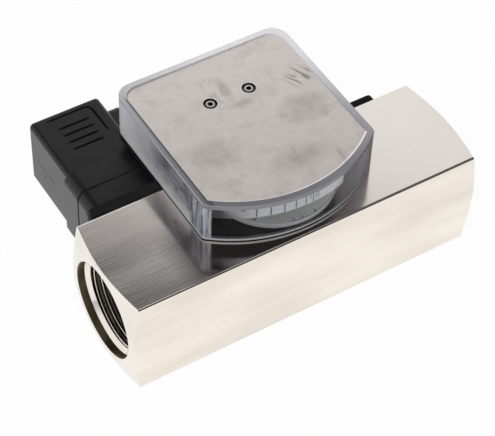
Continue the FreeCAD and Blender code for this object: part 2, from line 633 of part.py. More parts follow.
def make_rear_guide():
    """Hub on the piston's core with a second set of guide fins."""
    body = new_piece("rear_guide")
    bore = "sizes.core_radius + sizes.core_clearance"
    edge = "sizes.core_clearance"
    turned(body, [(edge, bore), (f"sizes.fin_length - {edge}", bore),
                  (f"sizes.fin_length - {edge}", "sizes.guide_hub_radius"), (edge, "sizes.guide_hub_radius")])
    section = new_sketch(body, "XY_Plane")
    rectangle(section, edge, f"sizes.fin_length - {edge}", "sizes.guide_hub_radius - 1", FIN_RADIUS)
    fin = pad(body, section, "sizes.fin_thickness", symmetric=True)
    repeat(body, fin, "X_Axis", 4)
    place(body, x=f"{PISTON_PLACE} + {GUIDE_START}", z=BAR_MIDDLE)


def make_open_clip(label, plane, inner, outer, thickness, opening):
    """Flat clip with an open side, pushed into the groove of a core or a pin."""
    body = new_piece(label)
    band = new_sketch(body, plane)
    circle(band, "0", "0", outer)
    circle(band, "0", "0", inner)
    pad(body, band, thickness)
    gap = new_sketch(body, plane)
    rectangle(gap, f"-({opening}) / 2", f"({opening}) / 2", f"-({outer}) - 1", "0")
    pocket(body, gap, thickness, backwards=True)
    return body


def make_piston_spring():
    """Round wire between the piston's clip and the spider, in half turns that each lean half a pitch."""
    start = f"({PISTON_PLACE} + {CLIP_START} + sizes.piston_clip_thickness + sizes.spring_end_gap)"
    length = f"({SEAT_END} - sizes.spring_end_gap - {start} - 2 * sizes.spring_wire)"
    turns = "round(sizes.spring_turns)"
    pitch = f"({length} / {turns})"
    body = new_piece("piston_spring")
    halves = []
    for along, side, lean in (("0", "", ""), (f"{pitch} / 2", "-", "-")):
        section = new_sketch(body, "XZ_Plane")
        circle(section, along, f"{side}sizes.spring_radius", "sizes.spring_wire")
        middle = f"{along} + {pitch} / 4"
        axis_line(section, (middle, "0"), (f"{middle} + sizes.spring_radius", f"{lean}{pitch} / 4"))
        half = body.newObject("PartDesign::Revolution", "spring_half")
        half.Profile = section
        half.ReferenceAxis = (section, ["Axis0"])
        half.Angle = 180
        section.Visibility = False
        doc.recompute()
        halves.append(half)
    coil = body.newObject("PartDesign::LinearPattern", "spring_coil")
    coil.Originals = halves
    coil.Direction = (datum(body, "X_Axis"), [""])
    coil.setExpression("Length", f"{pitch} * ({turns} - 1)")
    coil.setExpression("Occurrences", turns)
    body.Tip = coil
    place(body, x=f"{start} + sizes.spring_wire", z=BAR_MIDDLE)


def make_spring_spider():
    """Rim, three spokes and a hub that guides the piston's stem."""
    body = new_piece("spring_spider")
    rim = f"({RING_RADIUS} - sizes.spider_rim)"
    bore = "sizes.stem_radius + sizes.stem_clearance"
    turned(body, [("0", rim), ("sizes.ring_thickness", rim), ("sizes.ring_thickness", RING_RADIUS),
                  ("0", RING_RADIUS)])
    section = new_sketch(body, "YZ_Plane")
    rectangle(section, "-sizes.spoke_width / 2", "sizes.spoke_width / 2",
              "(sizes.spider_hub_radius + sizes.stem_radius) / 2", f"{rim} + sizes.spider_rim / 2")
    spoke = pad(body, section, "sizes.ring_thickness")
    repeat(body, spoke, "X_Axis", 3)
    turned(body, [("-sizes.spider_hub_length", bore), ("sizes.ring_thickness", bore),
                  ("sizes.ring_thickness", "sizes.spider_hub_radius"),
                  ("-sizes.spider_hub_length", "sizes.spider_hub_radius")])
    place(body, x=SEAT_END, z=BAR_MIDDLE)


def make_pivot_pin():
    """Pin in the bar's top with a collar under the disc and a groove for the clip."""
    body = new_piece("pivot_pin")
    collar = "sizes.disc_gap - sizes.disc_play"
    clip = f"{CLIP_FLOOR} - {BAR_TOP}"
    clip_top = f"{clip} + sizes.disc_clip_thickness + sizes.disc_play"
    top = f"{HUB_TOP} - {BAR_TOP} + sizes.pin_top"
    groove = "sizes.pin_radius - sizes.pin_groove_depth"
    turned(body, [("-sizes.pin_depth", "0"), ("-sizes.pin_depth", "sizes.pin_radius"),
                  ("0", "sizes.pin_radius"), ("0", "sizes.pin_collar_radius"),
                  (collar, "sizes.pin_collar_radius"), (collar, "sizes.pin_radius"),
                  (clip, "sizes.pin_radius"), (clip, groove), (clip_top, groove),
                  (clip_top, "sizes.pin_radius"), (top, "sizes.pin_radius"), (top, "0")], axis="Z_Axis")
    place(body, y="sizes.disc_back", z=BAR_TOP)


def make_indicator_disc():
    """Round disc about its pivot. A quarter of its edge is a cam: an eccentric arc whose radius grows
    evenly over the disc's turn. A cup under the disc holds the follower magnet over the bar's axis."""
    body = new_piece("indicator_disc")
    low = f"({DISC_RADIUS} - sizes.cam_depth)"
    middle = f"({low} + sizes.cam_lift / 2)"
    offset = f"(sizes.cam_lift / 2 / sin({HALF_SWEEP}))"
    start = "(180 - sizes.disc_sweep - 6)"
    stop = "(180 + 6)"
    between = "((180 + 180 - sizes.disc_sweep) / 2)"

    def cam_point(angle):
        radius = f"({middle} + {offset} * sin({between} - {angle}))"
        return (f"{radius} * cos({angle})", f"{radius} * sin({angle})")

    def rim_point(angle):
        return (f"{DISC_RADIUS} * cos({angle})", f"{DISC_RADIUS} * sin({angle})")

    front = "(270)"
    edge = new_sketch(body, "XY_Plane")
    outline(edge, [cam_point(start), cam_point(stop), rim_point(stop), rim_point(front), rim_point(start)],
            {0: middle, 2: DISC_RADIUS, 3: DISC_RADIUS})
    pad(body, edge, "sizes.disc_thickness")
    cup = new_sketch(body, "XY_Plane")
    circle(cup, FOLLOWER_X, FOLLOWER_Y, "sizes.follower_radius + sizes.follower_wall")
    pad(body, cup, "sizes.follower_height + sizes.follower_wall")
    hub = new_sketch(body, "XY_Plane")
    circle(hub, "0", "0", "sizes.disc_hub_radius")
    pad(body, hub, "sizes.disc_thickness + sizes.disc_hub_height")
    holes = new_sketch(body, "XY_Plane")
    circle(holes, FOLLOWER_X, FOLLOWER_Y, "sizes.follower_radius + sizes.core_clearance")
    pocket(body, holes, "sizes.follower_height + sizes.core_clearance", backwards=True)
    bore = new_sketch(body, "XY_Plane")
    circle(bore, "0", "0", "sizes.pin_radius + sizes.pin_clearance")
    pocket(body, bore, "2 * (sizes.disc_thickness + sizes.disc_hub_height)", symmetric=True)
    place(body, y="sizes.disc_back", z=DISC_FLOOR)


def make_follower_magnet():
    body = new_piece("follower_magnet")
    turned(body, [("0", "0"), ("0", "sizes.follower_radius"),
                  ("sizes.follower_height", "sizes.follower_radius"), ("sizes.follower_height", "0")],
           axis="Z_Axis")
    place(body, x=FOLLOWER_X, y=f"sizes.disc_back + {FOLLOWER_Y}", z=DISC_FLOOR)


def make_pointer_finger():
    """Flat needle on the disc with an upright tip at its edge, turned to the start of the scale."""
    body = new_piece("pointer_finger")
    root = f"-({FOLLOWER_ARM} + sizes.follower_radius + sizes.follower_wall + sizes.pointer_gap)"
    needle = new_sketch(body, "XY_Plane")
    outline(needle, [("-sizes.pointer_width / 2", root),
                     ("-sizes.pointer_width / 2", f"-{POINTER_TIP}"),
                     ("sizes.pointer_width / 2", f"-{POINTER_TIP}"),
                     ("sizes.pointer_width / 2", root)])
    pad(body, needle, "sizes.pointer_thickness")
    tip = new_sketch(body, "XY_Plane")
    rectangle(tip, "-sizes.pointer_width / 2", "sizes.pointer_width / 2",
              f"-{POINTER_TIP}", f"-{POINTER_TIP} + sizes.pointer_thickness")
    pad(body, tip, "sizes.pointer_rise")
    place(body, y="sizes.disc_back", z=DISC_TOP)
    body.setExpression("Placement.Rotation.Angle", f"-{HALF_SWEEP}")


def make_microswitch():
    """Small switch on the bar's top, to the left of the disc, with its plunger towards the pivot."""
    body = new_piece("microswitch")
    case = new_sketch(body, "XY_Plane")
    rectangle(case, f"-{SWITCH_FACE} - sizes.switch_depth", f"-{SWITCH_FACE}",
              "-sizes.switch_length / 2", "sizes.switch_length / 2")
    shell = pad(body, case, "sizes.switch_height")
    soften(body, edges_along(shell.Shape, Z_WAY), "sizes.switch_gap / 4", "Chamfer")
    tabs = new_sketch(body, "XY_Plane", "(sizes.switch_height - sizes.tab_thickness) / 2")
    for step in (-1, 0, 1):
        middle = f"(-{SWITCH_MIDDLE} + {step} * sizes.tab_spacing)"
        rectangle(tabs, f"{middle} - sizes.tab_width / 2", f"{middle} + sizes.tab_width / 2",
                  "sizes.switch_length / 2 - sizes.tab_width", "sizes.switch_length / 2 + sizes.tab_length")
    pad(body, tabs, "sizes.tab_thickness")
    holes = new_sketch(body, "XY_Plane")
    for sign in ("-", ""):
        circle(holes, f"-{SWITCH_MIDDLE}", f"{sign}sizes.switch_screw_spacing / 2",
               "sizes.switch_screw_radius + sizes.screw_clearance")
    pocket(body, holes, "2 * sizes.switch_height", symmetric=True)
    guide = new_sketch(body, "YZ_Plane", f"-{SWITCH_FACE}")
    circle(guide, "0", f"{DISC_MIDDLE} - {BAR_TOP}", "sizes.plunger_radius + sizes.plunger_clearance")
    pocket(body, guide, "sizes.plunger_inside + sizes.cam_lift + sizes.plunger_gap")
    place(body, y="sizes.disc_back", z=BAR_TOP)


def make_switch_plunger():
    """Round plunger with a bevelled end, just clear of the cam rim."""
    body = new_piece("switch_plunger")
    tip = f"-({DISC_RADIUS} - sizes.cam_depth + sizes.plunger_gap)"
    end = f"-({SWITCH_FACE} + sizes.plunger_inside)"
    turned(body, [(end, "0"), (end, "sizes.plunger_radius"),
                  (f"{tip} - sizes.plunger_radius / 2", "sizes.plunger_radius"),
                  (tip, "sizes.plunger_radius / 2"), (tip, "0")])
    place(body, y="sizes.disc_back", z=DISC_MIDDLE)


def make_screws(label, places, shank, reach, head, cap, socket):
    """Group of equal socket-head screws along Z, each with its head's underside on its place."""
    body = new_piece(label)
    shanks = new_sketch(body, "XY_Plane", f"-({reach})")
    for x, y in places:
        circle(shanks, x, y, shank)
    stems = pad(body, shanks, reach)
    stems.AllowMultiFace = True
    heads = new_sketch(body, "XY_Plane")
    for x, y in places:
        circle(heads, x, y, head)
    pad(body, heads, cap)
    sockets = new_sketch(body, "XY_Plane", cap)
    for x, y in places:
        hexagon(sockets, socket, x, y)
    pocket(body, sockets, f"min(sizes.socket_depth * ({socket}) / sizes.socket_radius; 0.7 * ({cap}))")
    return body


def head_block(body, plane_level, inset, length, kind="Pad", backwards=False, turn=None):
    """Pad or Pocket of the head's outline with its corners rounded in the profile's own solid."""
    sketch = new_sketch(body, "XY_Plane", plane_level)
    rounded_head(sketch, inset, turn)
    maker = pad if kind == "Pad" else pocket
    return maker(body, sketch, length, backwards)


def rounded_head(sketch, inset, turn=None):
    """Head outline with rounded back corners, and front corners cut at the same radius as a bevel."""
    side = f"(sizes.head_width / 2 - {inset})"
    arch = f"(sizes.window_radius - {inset})"
    back = f"(sizes.head_back - {inset})"
    turn = turn or f"max(sizes.cover_back_round - {inset}; 0.5)"
    nose = f"max(sizes.cover_front_round - {inset}; 0.4)"
    inner_side = f"({side} - {nose})"
    # the front corner's circle touches the side and the arch from inside
    reach = f"({arch} - {nose})"
    corner_y = f"(sizes.window_centre - sqrt({reach} ^ 2 - {inner_side} ^ 2))"
    touch_x = f"({inner_side} * {arch} / {reach})"
    touch_y = f"(sizes.window_centre - (sizes.window_centre - {corner_y}) * {arch} / {reach})"
    outline(sketch, [(f"-{side}", f"{back} - {turn}"), (f"-{side}", corner_y),
                     (f"-{touch_x}", touch_y), (touch_x, touch_y), (side, corner_y),
                     (side, f"{back} - {turn}"), (f"{side} - {turn}", back), (f"-({side} - {turn})", back)],
            {1: nose, 2: arch, 3: nose, 5: turn, 7: turn})


def cover_screw_places():
    return [(f"{sign}sizes.cover_screw_spacing / 2", "sizes.window_centre") for sign in ("-", "")]


def make_clear_cover():
    """Clear cap: walls, a roof, a recess on top for the plate and a groove in the foot for the seal."""
    body = new_piece("clear_cover")
    block = head_block(body, BAR_TOP, "0", "sizes.head_height + sizes.rim_rise")
    top = number(f"{BAR_TOP} + sizes.head_height + sizes.rim_rise")
    brim = [f"Edge{index}" for index, edge in enumerate(block.Shape.Edges, start=1)
            if all(abs(corner.Point.z - top) < 0.01 for corner in edge.Vertexes)]
    soften(body, brim, "sizes.cover_bevel", "Chamfer")
    head_block(body, BAR_TOP, "sizes.cover_wall", f"{ROOF_UNDER} - {BAR_TOP}", "Pocket", backwards=True)
    head_block(body, ROOF_TOP, "sizes.rim_width", "sizes.plate_thickness + sizes.rim_rise", "Pocket",
               backwards=True, turn="(sizes.plate_round + sizes.plate_clearance)")
    groove = new_sketch(body, "XY_Plane", BAR_TOP)
    rounded_head(groove, "sizes.seal_inset")
    rounded_head(groove, "(sizes.seal_inset + sizes.seal_width)")
    pocket(body, groove, "sizes.seal_height", backwards=True)
    holes = new_sketch(body, "XY_Plane", ROOF_TOP)
    for x, y in cover_screw_places():
        circle(holes, x, y, "sizes.cover_screw_radius + 2 * sizes.screw_clearance")
    pocket(body, holes, "2 * sizes.cover_roof", symmetric=True)
    place(body)


def make_cover_seal():
    body = new_piece("cover_seal")
    ring = new_sketch(body, "XY_Plane", BAR_TOP)
    rounded_head(ring, "(sizes.seal_inset + sizes.ring_clearance)")
    rounded_head(ring, "(sizes.seal_inset + sizes.seal_width - sizes.ring_clearance)")
    pad(body, ring, "sizes.seal_height - sizes.ring_clearance")
    place(body)


def make_top_plate():
    body = new_piece("top_plate")
    head_block(body, ROOF_TOP, "(sizes.rim_width + sizes.plate_clearance)", "sizes.plate_thickness",
               turn="sizes.plate_round")
    holes = new_sketch(body, "XY_Plane", ROOF_TOP)
    for x, y in cover_screw_places():
        circle(holes, x, y, "sizes.plate_hole_radius")
    pocket(body, holes, "sizes.plate_thickness", backwards=True)
    place(body)


def make_cover_pillars():
    """Two round pillars on the shelf, with a tapped hole in the top of each."""
    body = new_piece("cover_pillars")
    feet = new_sketch(body, "XY_Plane", BAR_TOP)
    for x, y in cover_screw_places():
        circle(feet, x, y, "sizes.pillar_radius")
    stems = pad(body, feet, f"{ROOF_UNDER} - {BAR_TOP}")
    stems.AllowMultiFace = True
    holes = new_sketch(body, "XY_Plane", ROOF_UNDER)
    for x, y in cover_screw_places():
        circle(holes, x, y, "sizes.cover_screw_radius + sizes.screw_clearance")
    pocket(body, holes, "sizes.cover_screw_reach + sizes.hole_extra")
    place(body)


def make_scale_strip():
    """Curved strip that follows the inside of the window under the roof."""
    body = new_piece("scale_strip")
    outer = "(sizes.window_radius - sizes.cover_wall - sizes.scale_gap)"
    inner = f"({outer} - sizes.scale_thickness)"
    strip = new_sketch(body, "XY_Plane")

    def left_end(radius):
        return (f"-{radius} * sin(sizes.scale_left_angle)", f"-{radius} * cos(sizes.scale_left_angle)")

    def right_end(radius):
        return (f"{radius} * sin(sizes.scale_right_angle)", f"-{radius} * cos(sizes.scale_right_angle)")

    outline(strip, [left_end(outer), right_end(outer), right_end(inner), left_end(inner)],
            {0: outer, 2: f"-{inner}"})
    pad(body, strip, "sizes.scale_height")
    place(body, y="sizes.window_centre", z=f"{ROOF_UNDER} - sizes.scale_height")


def flange_rectangle(sketch, inset):
    rectangle(sketch, f"-sizes.flange_left + {inset}", f"sizes.flange_right - {inset}",
              f"sizes.flange_bottom + {inset}", f"{BAR_TOP} - {inset}")


def add_bolt_holes(body, level, length):
    holes = new_sketch(body, "XZ_Plane", f"-({level})")
    for across, up in bolt_places():
        circle(holes, across, up, "sizes.bolt_radius + 2 * sizes.screw_clearance")
    pocket(body, holes, length, backwards=True)


def make_flange_gasket():
    body = new_piece("flange_gasket")
    sheet = new_sketch(body, "XZ_Plane", f"-{BAR_BACK}")
    flange_rectangle(sheet, "sizes.gasket_inset")
    blank = pad(body, sheet, "sizes.gasket_thickness", backwards=True)
    soften(body, edges_along(blank.Shape, Y_WAY), "sizes.flange_round")
    add_bolt_holes(body, FLANGE_FRONT, "sizes.gasket_thickness")
    place(body)


def lid_screw_places():
    """Places of the lid's screws, across and up, at the box's corners."""
    side = "(sizes.box_width / 2 - sizes.post_inset)"
    return [(f"{sign}{side}", up) for sign in ("-", "")
            for up in ("sizes.box_bottom + sizes.post_inset", f"{SHELF_UNDER} - sizes.post_inset")]


def make_switch_housing():
    """Black moulding: long flange on the bar's back, shelf under the cover and an open-backed wiring box."""
    body = new_piece("switch_housing")
    side = "sizes.box_width / 2"
    flange = new_sketch(body, "XZ_Plane", f"-{FLANGE_FRONT}")
    flange_rectangle(flange, "0")
    plate = pad(body, flange, "sizes.flange_thickness", backwards=True)
    soften(body, edges_along(plate.Shape, Y_WAY), "sizes.flange_round")
    box = new_sketch(body, "XZ_Plane", f"-{FLANGE_BACK}")
    rectangle(box, f"-{side}", side, "sizes.box_bottom", SHELF_UNDER)
    pad(body, box, "sizes.box_depth", backwards=True)
    lower = number("sizes.box_bottom")
    soften(body, edges_along(body.Shape, Y_WAY, lambda edge: abs(edge_point(edge).z - lower) < 0.01),
           "sizes.box_round")
    hollow = new_sketch(body, "XZ_Plane", f"-{BOX_BACK}")
    rectangle(hollow, f"-{side} + sizes.box_wall", f"{side} - sizes.box_wall",
              "sizes.box_bottom + sizes.box_wall", f"{SHELF_UNDER} - sizes.box_wall")
    pocket(body, hollow, "sizes.box_depth", backwards=True)
    posts = new_sketch(body, "XZ_Plane", f"-{FLANGE_BACK}")
    for across, up in lid_screw_places():
        circle(posts, across, up, "sizes.post_radius")
    pad(body, posts, "sizes.box_depth - sizes.lid_lip - sizes.lid_lip_clearance", backwards=True)
    shelf = new_sketch(body, "XY_Plane", SHELF_UNDER)
    edge = "sizes.head_width / 2"
    turn = "sizes.cover_back_round"
    outline(shelf, [(f"-{edge}", FLANGE_FRONT), (edge, FLANGE_FRONT), (edge, f"sizes.head_back - {turn}"),
                    (f"{edge} - {turn}", "sizes.head_back"), (f"-({edge} - {turn})", "sizes.head_back"),
                    (f"-{edge}", f"sizes.head_back - {turn}")], {2: turn, 4: turn})
    pad(body, shelf, "sizes.shelf_thickness")
    screw_holes = new_sketch(body, "XZ_Plane", f"-{BOX_BACK}")
    for across, up in lid_screw_places():
        circle(screw_holes, across, up, "sizes.lid_screw_radius + sizes.screw_clearance")
    pocket(body, screw_holes, "sizes.lid_screw_reach + sizes.hole_extra", backwards=True)
    add_bolt_holes(body, FLANGE_BACK, "sizes.flange_thickness")
    place(body)


def make_rear_lid():
    """Lid of the wiring box, with a lip that enters the box."""
    body = new_piece("rear_lid")
    side = "sizes.box_width / 2"
    sheet = new_sketch(body, "XZ_Plane", f"-{BOX_BACK}")
    rectangle(sheet, f"-{side}", side, "sizes.box_bottom", SHELF_UNDER)
    blank = pad(body, sheet, "sizes.lid_thickness", backwards=True)
    soften(body, edges_along(blank.Shape, Y_WAY), "sizes.box_round")
    lip = new_sketch(body, "XZ_Plane", f"-{BOX_BACK}")
    for inset in ("(sizes.box_wall + sizes.lid_lip_clearance)",
                  "(sizes.box_wall + sizes.lid_lip_clearance + sizes.lid_lip_width)"):
        rectangle(lip, f"-{side} + {inset}", f"{side} - {inset}",
                  f"sizes.box_bottom + {inset}", f"{SHELF_UNDER} - {inset}")
    pad(body, lip, "sizes.lid_lip")
    holes = new_sketch(body, "XZ_Plane", f"-{BOX_BACK}")
    for across, up in lid_screw_places():
        circle(holes, across, up, "sizes.lid_screw_radius + 2 * sizes.screw_clearance")
    pocket(body, holes, "2 * (sizes.lid_thickness + sizes.lid_lip)", symmetric=True)
    place(body)


def make_connector_socket():
    """Square base of the connector on a thin foot plate, with a tapped hole for the plug's screw."""
    body = new_piece("connector_socket")
    base = new_sketch(body, "XZ_Plane")
    square(base, "sizes.socket_width")
    block = pad(body, base, "sizes.socket_length", backwards=True)
    soften(body, edges_along(block.Shape, Y_WAY), "sizes.plug_round")
    foot = new_sketch(body, "XZ_Plane")
    left, top = f"{PLUG_LEFT} - sizes.foot_left", f"{BAR_TOP} - sizes.plug_height"
    right = f"{PLUG_LEFT} - sizes.head_width / 2 - sizes.foot_gap"
    rectangle(foot, left, right, "-sizes.socket_width / 2", top)
    plate = pad(body, foot, "sizes.foot_thickness", backwards=True)
    corner = (number(left), number(top))
    soften(body, edges_along(plate.Shape, Y_WAY, lambda edge: abs(edge_point(edge).x - corner[0])
                             + abs(edge_point(edge).z - corner[1]) < 0.01), "sizes.flange_round")
    slots = new_sketch(body, "XZ_Plane", "-sizes.socket_length")
    blade_rectangles(slots, "sizes.blade_clearance")
    pocket(body, slots, "sizes.blade_root", backwards=True)
    hole = new_sketch(body, "XZ_Plane", "-sizes.socket_length")
    circle(hole, "0", "0", "sizes.plug_screw_radius + sizes.screw_clearance")
    pocket(body, hole, "sizes.plug_screw_reach + sizes.hole_extra", backwards=True)
    place_on_plug(body, FLANGE_BACK)


def place_on_plug(body, along):
    """Puts a piece of the connector on the plug's axis."""
    place(body, x=f"-{PLUG_LEFT}", y=along, z="sizes.plug_height")


def blade_rectangles(sketch, margin):
    """Four flat contacts about the plug's axis: three across their radius and one along it."""
    flat = f"(sizes.blade_width / 2 + {margin})"
    thin = f"(sizes.blade_thickness / 2 + {margin})"
    far = BLADE_OFFSET
    for sign in ("-", ""):
        rectangle(sketch, f"{sign}{far} - {thin}", f"{sign}{far} + {thin}", f"-{flat}", flat)
        rectangle(sketch, f"-{flat}", flat, f"{sign}{far} - {thin}", f"{sign}{far} + {thin}")


def make_contact_pins():
    body = new_piece("contact_pins")
    blades = new_sketch(body, "XZ_Plane", "sizes.blade_root")
    blade_rectangles(blades, "0")
    stems = pad(body, blades, "sizes.blade_root + sizes.blade_length - sizes.blade_clearance", backwards=True)
    stems.AllowMultiFace = True
    place_on_plug(body, SOCKET_END)


def make_connector_gasket():
    body = new_piece("connector_gasket")
    width = "(sizes.socket_width - 2 * sizes.plug_gasket_inset)"
    sheet = new_sketch(body, "XZ_Plane")
    square(sheet, width)
    blank = pad(body, sheet, "sizes.plug_gasket", backwards=True)
    soften(body, edges_along(blank.Shape, Y_WAY), "sizes.plug_round - sizes.plug_gasket_inset")
    hole = new_sketch(body, "XZ_Plane")
    square(hole, f"2 * ({BLADE_OFFSET} + sizes.blade_thickness / 2 + sizes.plug_gasket_margin)")
    pocket(body, hole, "2 * sizes.plug_gasket", symmetric=True)
    place_on_plug(body, SOCKET_END)


def make_plug_insert():
    """Terminal block in the hood, with slots for the contacts and a hole for the screw."""
    body = new_piece("plug_insert")
    base = new_sketch(body, "XZ_Plane")
    square(base, f"({CAVITY_WIDTH} - 2 * sizes.insert_clearance)")
    block = pad(body, base, "sizes.insert_length", backwards=True)
    soften(body, edges_along(block.Shape, Y_WAY), "sizes.blade_thickness", "Chamfer")
    slots = new_sketch(body, "XZ_Plane")
    blade_rectangles(slots, "sizes.blade_clearance")
    pocket(body, slots, "sizes.blade_length - sizes.plug_gasket")
    hole = new_sketch(body, "XZ_Plane")
    circle(hole, "0", "0", "sizes.plug_screw_radius + sizes.plug_screw_clearance")
    pocket(body, hole, "2 * sizes.insert_length", symmetric=True)
    place_on_plug(body, HOOD_START)


def make_plug_hood():
    """Hollow hood: wide skirt, narrower upper part with rounded end, and the collar of the cable gland."""
    body = new_piece("plug_hood")
    foot = new_sketch(body, "XZ_Plane")
    rounded_square(foot, "sizes.socket_width", "sizes.plug_round")
    pad(body, foot, "sizes.skirt_length", backwards=True)
    top = number("sizes.skirt_length")
    rim = [f"Edge{index}" for index, edge in enumerate(body.Shape.Edges, start=1)
           if all(abs(corner.Point.y - top) < 0.01 for corner in edge.Vertexes)]
    soften(body, rim, "sizes.hood_step_round", "Chamfer")
    upper = new_sketch(body, "XZ_Plane")
    rounded_square(upper, HOOD_WIDTH, "sizes.hood_round")
    pad(body, upper, "sizes.hood_length", backwards=True)
    end = number("sizes.hood_length")
    far = [f"Edge{index}" for index, edge in enumerate(body.Shape.Edges, start=1)
           if all(abs(corner.Point.y - end) < 0.01 for corner in edge.Vertexes)]
    soften(body, far, "sizes.hood_end_round")
    collar = new_sketch(body, "YZ_Plane", f"{HOOD_WIDTH} / 2 - sizes.hood_wall")
    middle = f"({GLAND_MIDDLE} - {HOOD_START})"
    square(collar, "sizes.collar_width", x=middle)
    pad(body, collar, "sizes.collar_length + sizes.hood_wall")
    outer = number(f"{HOOD_WIDTH} / 2") + 0.01
    soften(body, edges_along(body.Shape, X_WAY, lambda edge: edge_point(edge).x > outer), "sizes.collar_round")
    cavity = new_sketch(body, "XZ_Plane")
    square(cavity, CAVITY_WIDTH)
    pocket(body, cavity, "sizes.hood_length - sizes.hood_wall")
    cable_way = new_sketch(body, "YZ_Plane", f"{HOOD_WIDTH} / 2 + sizes.collar_length")
    circle(cable_way, middle, "0", "sizes.gland_bore")
    pocket(body, cable_way, "sizes.collar_length + sizes.hood_wall + 1")
    hole = new_sketch(body, "XZ_Plane", "-sizes.hood_length")
    circle(hole, "0", "0", "sizes.plug_screw_radius + sizes.plug_screw_clearance")
    pocket(body, hole, "2 * sizes.hood_wall", backwards=True)
    place_on_plug(body, HOOD_START)


def make_plug_screw():
    """Long slotted screw through hood, block and gasket into the base."""
    body = new_piece("plug_screw")
    reach = "(sizes.hood_length + sizes.plug_gasket + sizes.plug_screw_reach)"
    shank = new_sketch(body, "XZ_Plane")
    circle(shank, "0", "0", "sizes.plug_screw_radius")
    pad(body, shank, reach)
    head = new_sketch(body, "XZ_Plane")
    circle(head, "0", "0", "sizes.plug_screw_head")
    pad(body, head, "sizes.plug_screw_cap", backwards=True)
    slot = new_sketch(body, "XZ_Plane", "-sizes.plug_screw_cap")
    rectangle(slot, "-sizes.plug_screw_head - 1", "sizes.plug_screw_head + 1",
              "-sizes.plug_screw_slot / 2", "sizes.plug_screw_slot / 2")
    pocket(body, slot, "sizes.plug_screw_cap / 2", backwards=True)
    place_on_plug(body, HOOD_END)


def make_gland_seal():
    """Rubber ring in the collar that grips the cable."""
    body = new_piece("gland_seal")
    outer = "(sizes.gland_bore - sizes.gland_seal_clearance)"
    turned(body, [("0", "sizes.cable_radius"), ("sizes.collar_length", "sizes.cable_radius"),
                  ("sizes.collar_length", outer), ("0", outer)])
    place(body, x=f"{COLLAR_END} - sizes.collar_length", y=GLAND_MIDDLE, z="sizes.plug_height")


def make_gland_nut():
    """Hexagon nut on the collar's end with a hole for the cable."""
    body = new_piece("gland_nut")
    section = new_sketch(body, "YZ_Plane")
    hexagon(section, "sizes.gland_nut_across / 2 / cos(30)")
    circle(section, "0", "0", "sizes.gland_nut_hole")
    pad(body, section, "sizes.gland_nut_length")
    beyond = "sizes.gland_nut_across"
    bevel = "(sizes.gland_nut_across / 2 * tan(30))"
    turned(body, [("sizes.gland_nut_length", "sizes.gland_nut_across / 2"), ("sizes.gland_nut_length", beyond),
                  (f"sizes.gland_nut_length - {bevel}", beyond)], kind="Groove")
    place(body, x=COLLAR_END, y=GLAND_MIDDLE, z="sizes.plug_height")


make_flow_body()
make_orifice_ring()
make_circlip("inlet_circlip", f"-{RING_END} - sizes.clip_thickness - sizes.clip_play / 2")
make_metering_piston()
make_piston_magnet()
make_rear_guide()
piston_clip = make_open_clip("piston_clip", "YZ_Plane",
                             "sizes.core_radius - sizes.core_groove_depth + sizes.core_clearance",
                             "sizes.piston_clip_radius", "sizes.piston_clip_thickness - sizes.core_clearance",
                             "2 * (sizes.core_radius - sizes.core_groove_depth) * 0.85")
place(piston_clip, x=f"{PISTON_PLACE} + {CLIP_START} + sizes.core_clearance / 2", z=BAR_MIDDLE)
make_piston_spring()
make_spring_spider()
make_circlip("outlet_circlip", f"{RING_END} + sizes.clip_play / 2")

make_pivot_pin()
make_indicator_disc()
make_follower_magnet()
make_pointer_finger()
disc_clip = make_open_clip("disc_clip", "XY_Plane",
                           "sizes.pin_radius - sizes.pin_groove_depth + sizes.disc_play / 2",
                           "sizes.disc_clip_radius", "sizes.disc_clip_thickness",
                           "2 * (sizes.pin_radius - sizes.pin_groove_depth) * 0.85")
place(disc_clip, y="sizes.disc_back", z=f"{CLIP_FLOOR} + sizes.disc_play / 2")

make_microswitch()
make_switch_plunger()
switch_screws = make_screws("switch_screws",
                            [(f"-{SWITCH_MIDDLE}", f"sizes.disc_back {sign} sizes.switch_screw_spacing / 2")
                             for sign in ("-", "+")],
                            "sizes.switch_screw_radius", "sizes.switch_height + sizes.switch_screw_depth",
                            "sizes.switch_screw_head", "sizes.switch_screw_cap", "sizes.socket_radius")
place(switch_screws, z=f"{BAR_TOP} + sizes.switch_height")

make_clear_cover()
make_cover_seal()
make_top_plate()
cover_screws = make_screws("cover_screws", cover_screw_places(), "sizes.cover_screw_radius",
                           "sizes.cover_roof + sizes.cover_screw_reach", "sizes.cover_screw_head",
                           "sizes.cover_screw_cap", "sizes.cover_screw_socket")
place(cover_screws, z=ROOF_TOP)
make_cover_pillars()
make_scale_strip()

make_switch_housing()
make_flange_gasket()
housing_screws = make_screws("housing_screws", [(across, f"-({up})") for across, up in bolt_places()],
                             "sizes.bolt_radius",
                             "sizes.flange_thickness + sizes.gasket_thickness + sizes.bolt_depth",
                             "sizes.bolt_head", "sizes.bolt_cap", "sizes.bolt_socket")
place(housing_screws, y=FLANGE_BACK, turn=TURN_BACK)
make_rear_lid()
lid_screws = make_screws("lid_screws", [(across, f"-({up})") for across, up in lid_screw_places()],
                         "sizes.lid_screw_radius",
                         "sizes.lid_thickness + sizes.lid_screw_reach", "sizes.lid_screw_head",
                         "sizes.lid_screw_cap", "sizes.socket_radius * 1.4")
place(lid_screws, y=f"{BOX_BACK} + sizes.lid_thickness", turn=TURN_BACK)

make_connector_socket()
make_contact_pins()
make_connector_gasket()
make_plug_insert()
make_plug_hood()
make_plug_screw()
make_gland_seal()
make_gland_nut()

doc.recompute()
faults = [item.Label for item in doc.Objects if "Invalid" in item.State or "Error" in item.State]
if faults:
    raise ValueError(f"failed objects: {faults}")
for piece in PIECES:
    if piece.Shape.isNull() or not piece.Shape.isValid() or not piece.Shape.Solids:
        raise ValueError(f"{piece.Label} has no valid solid")

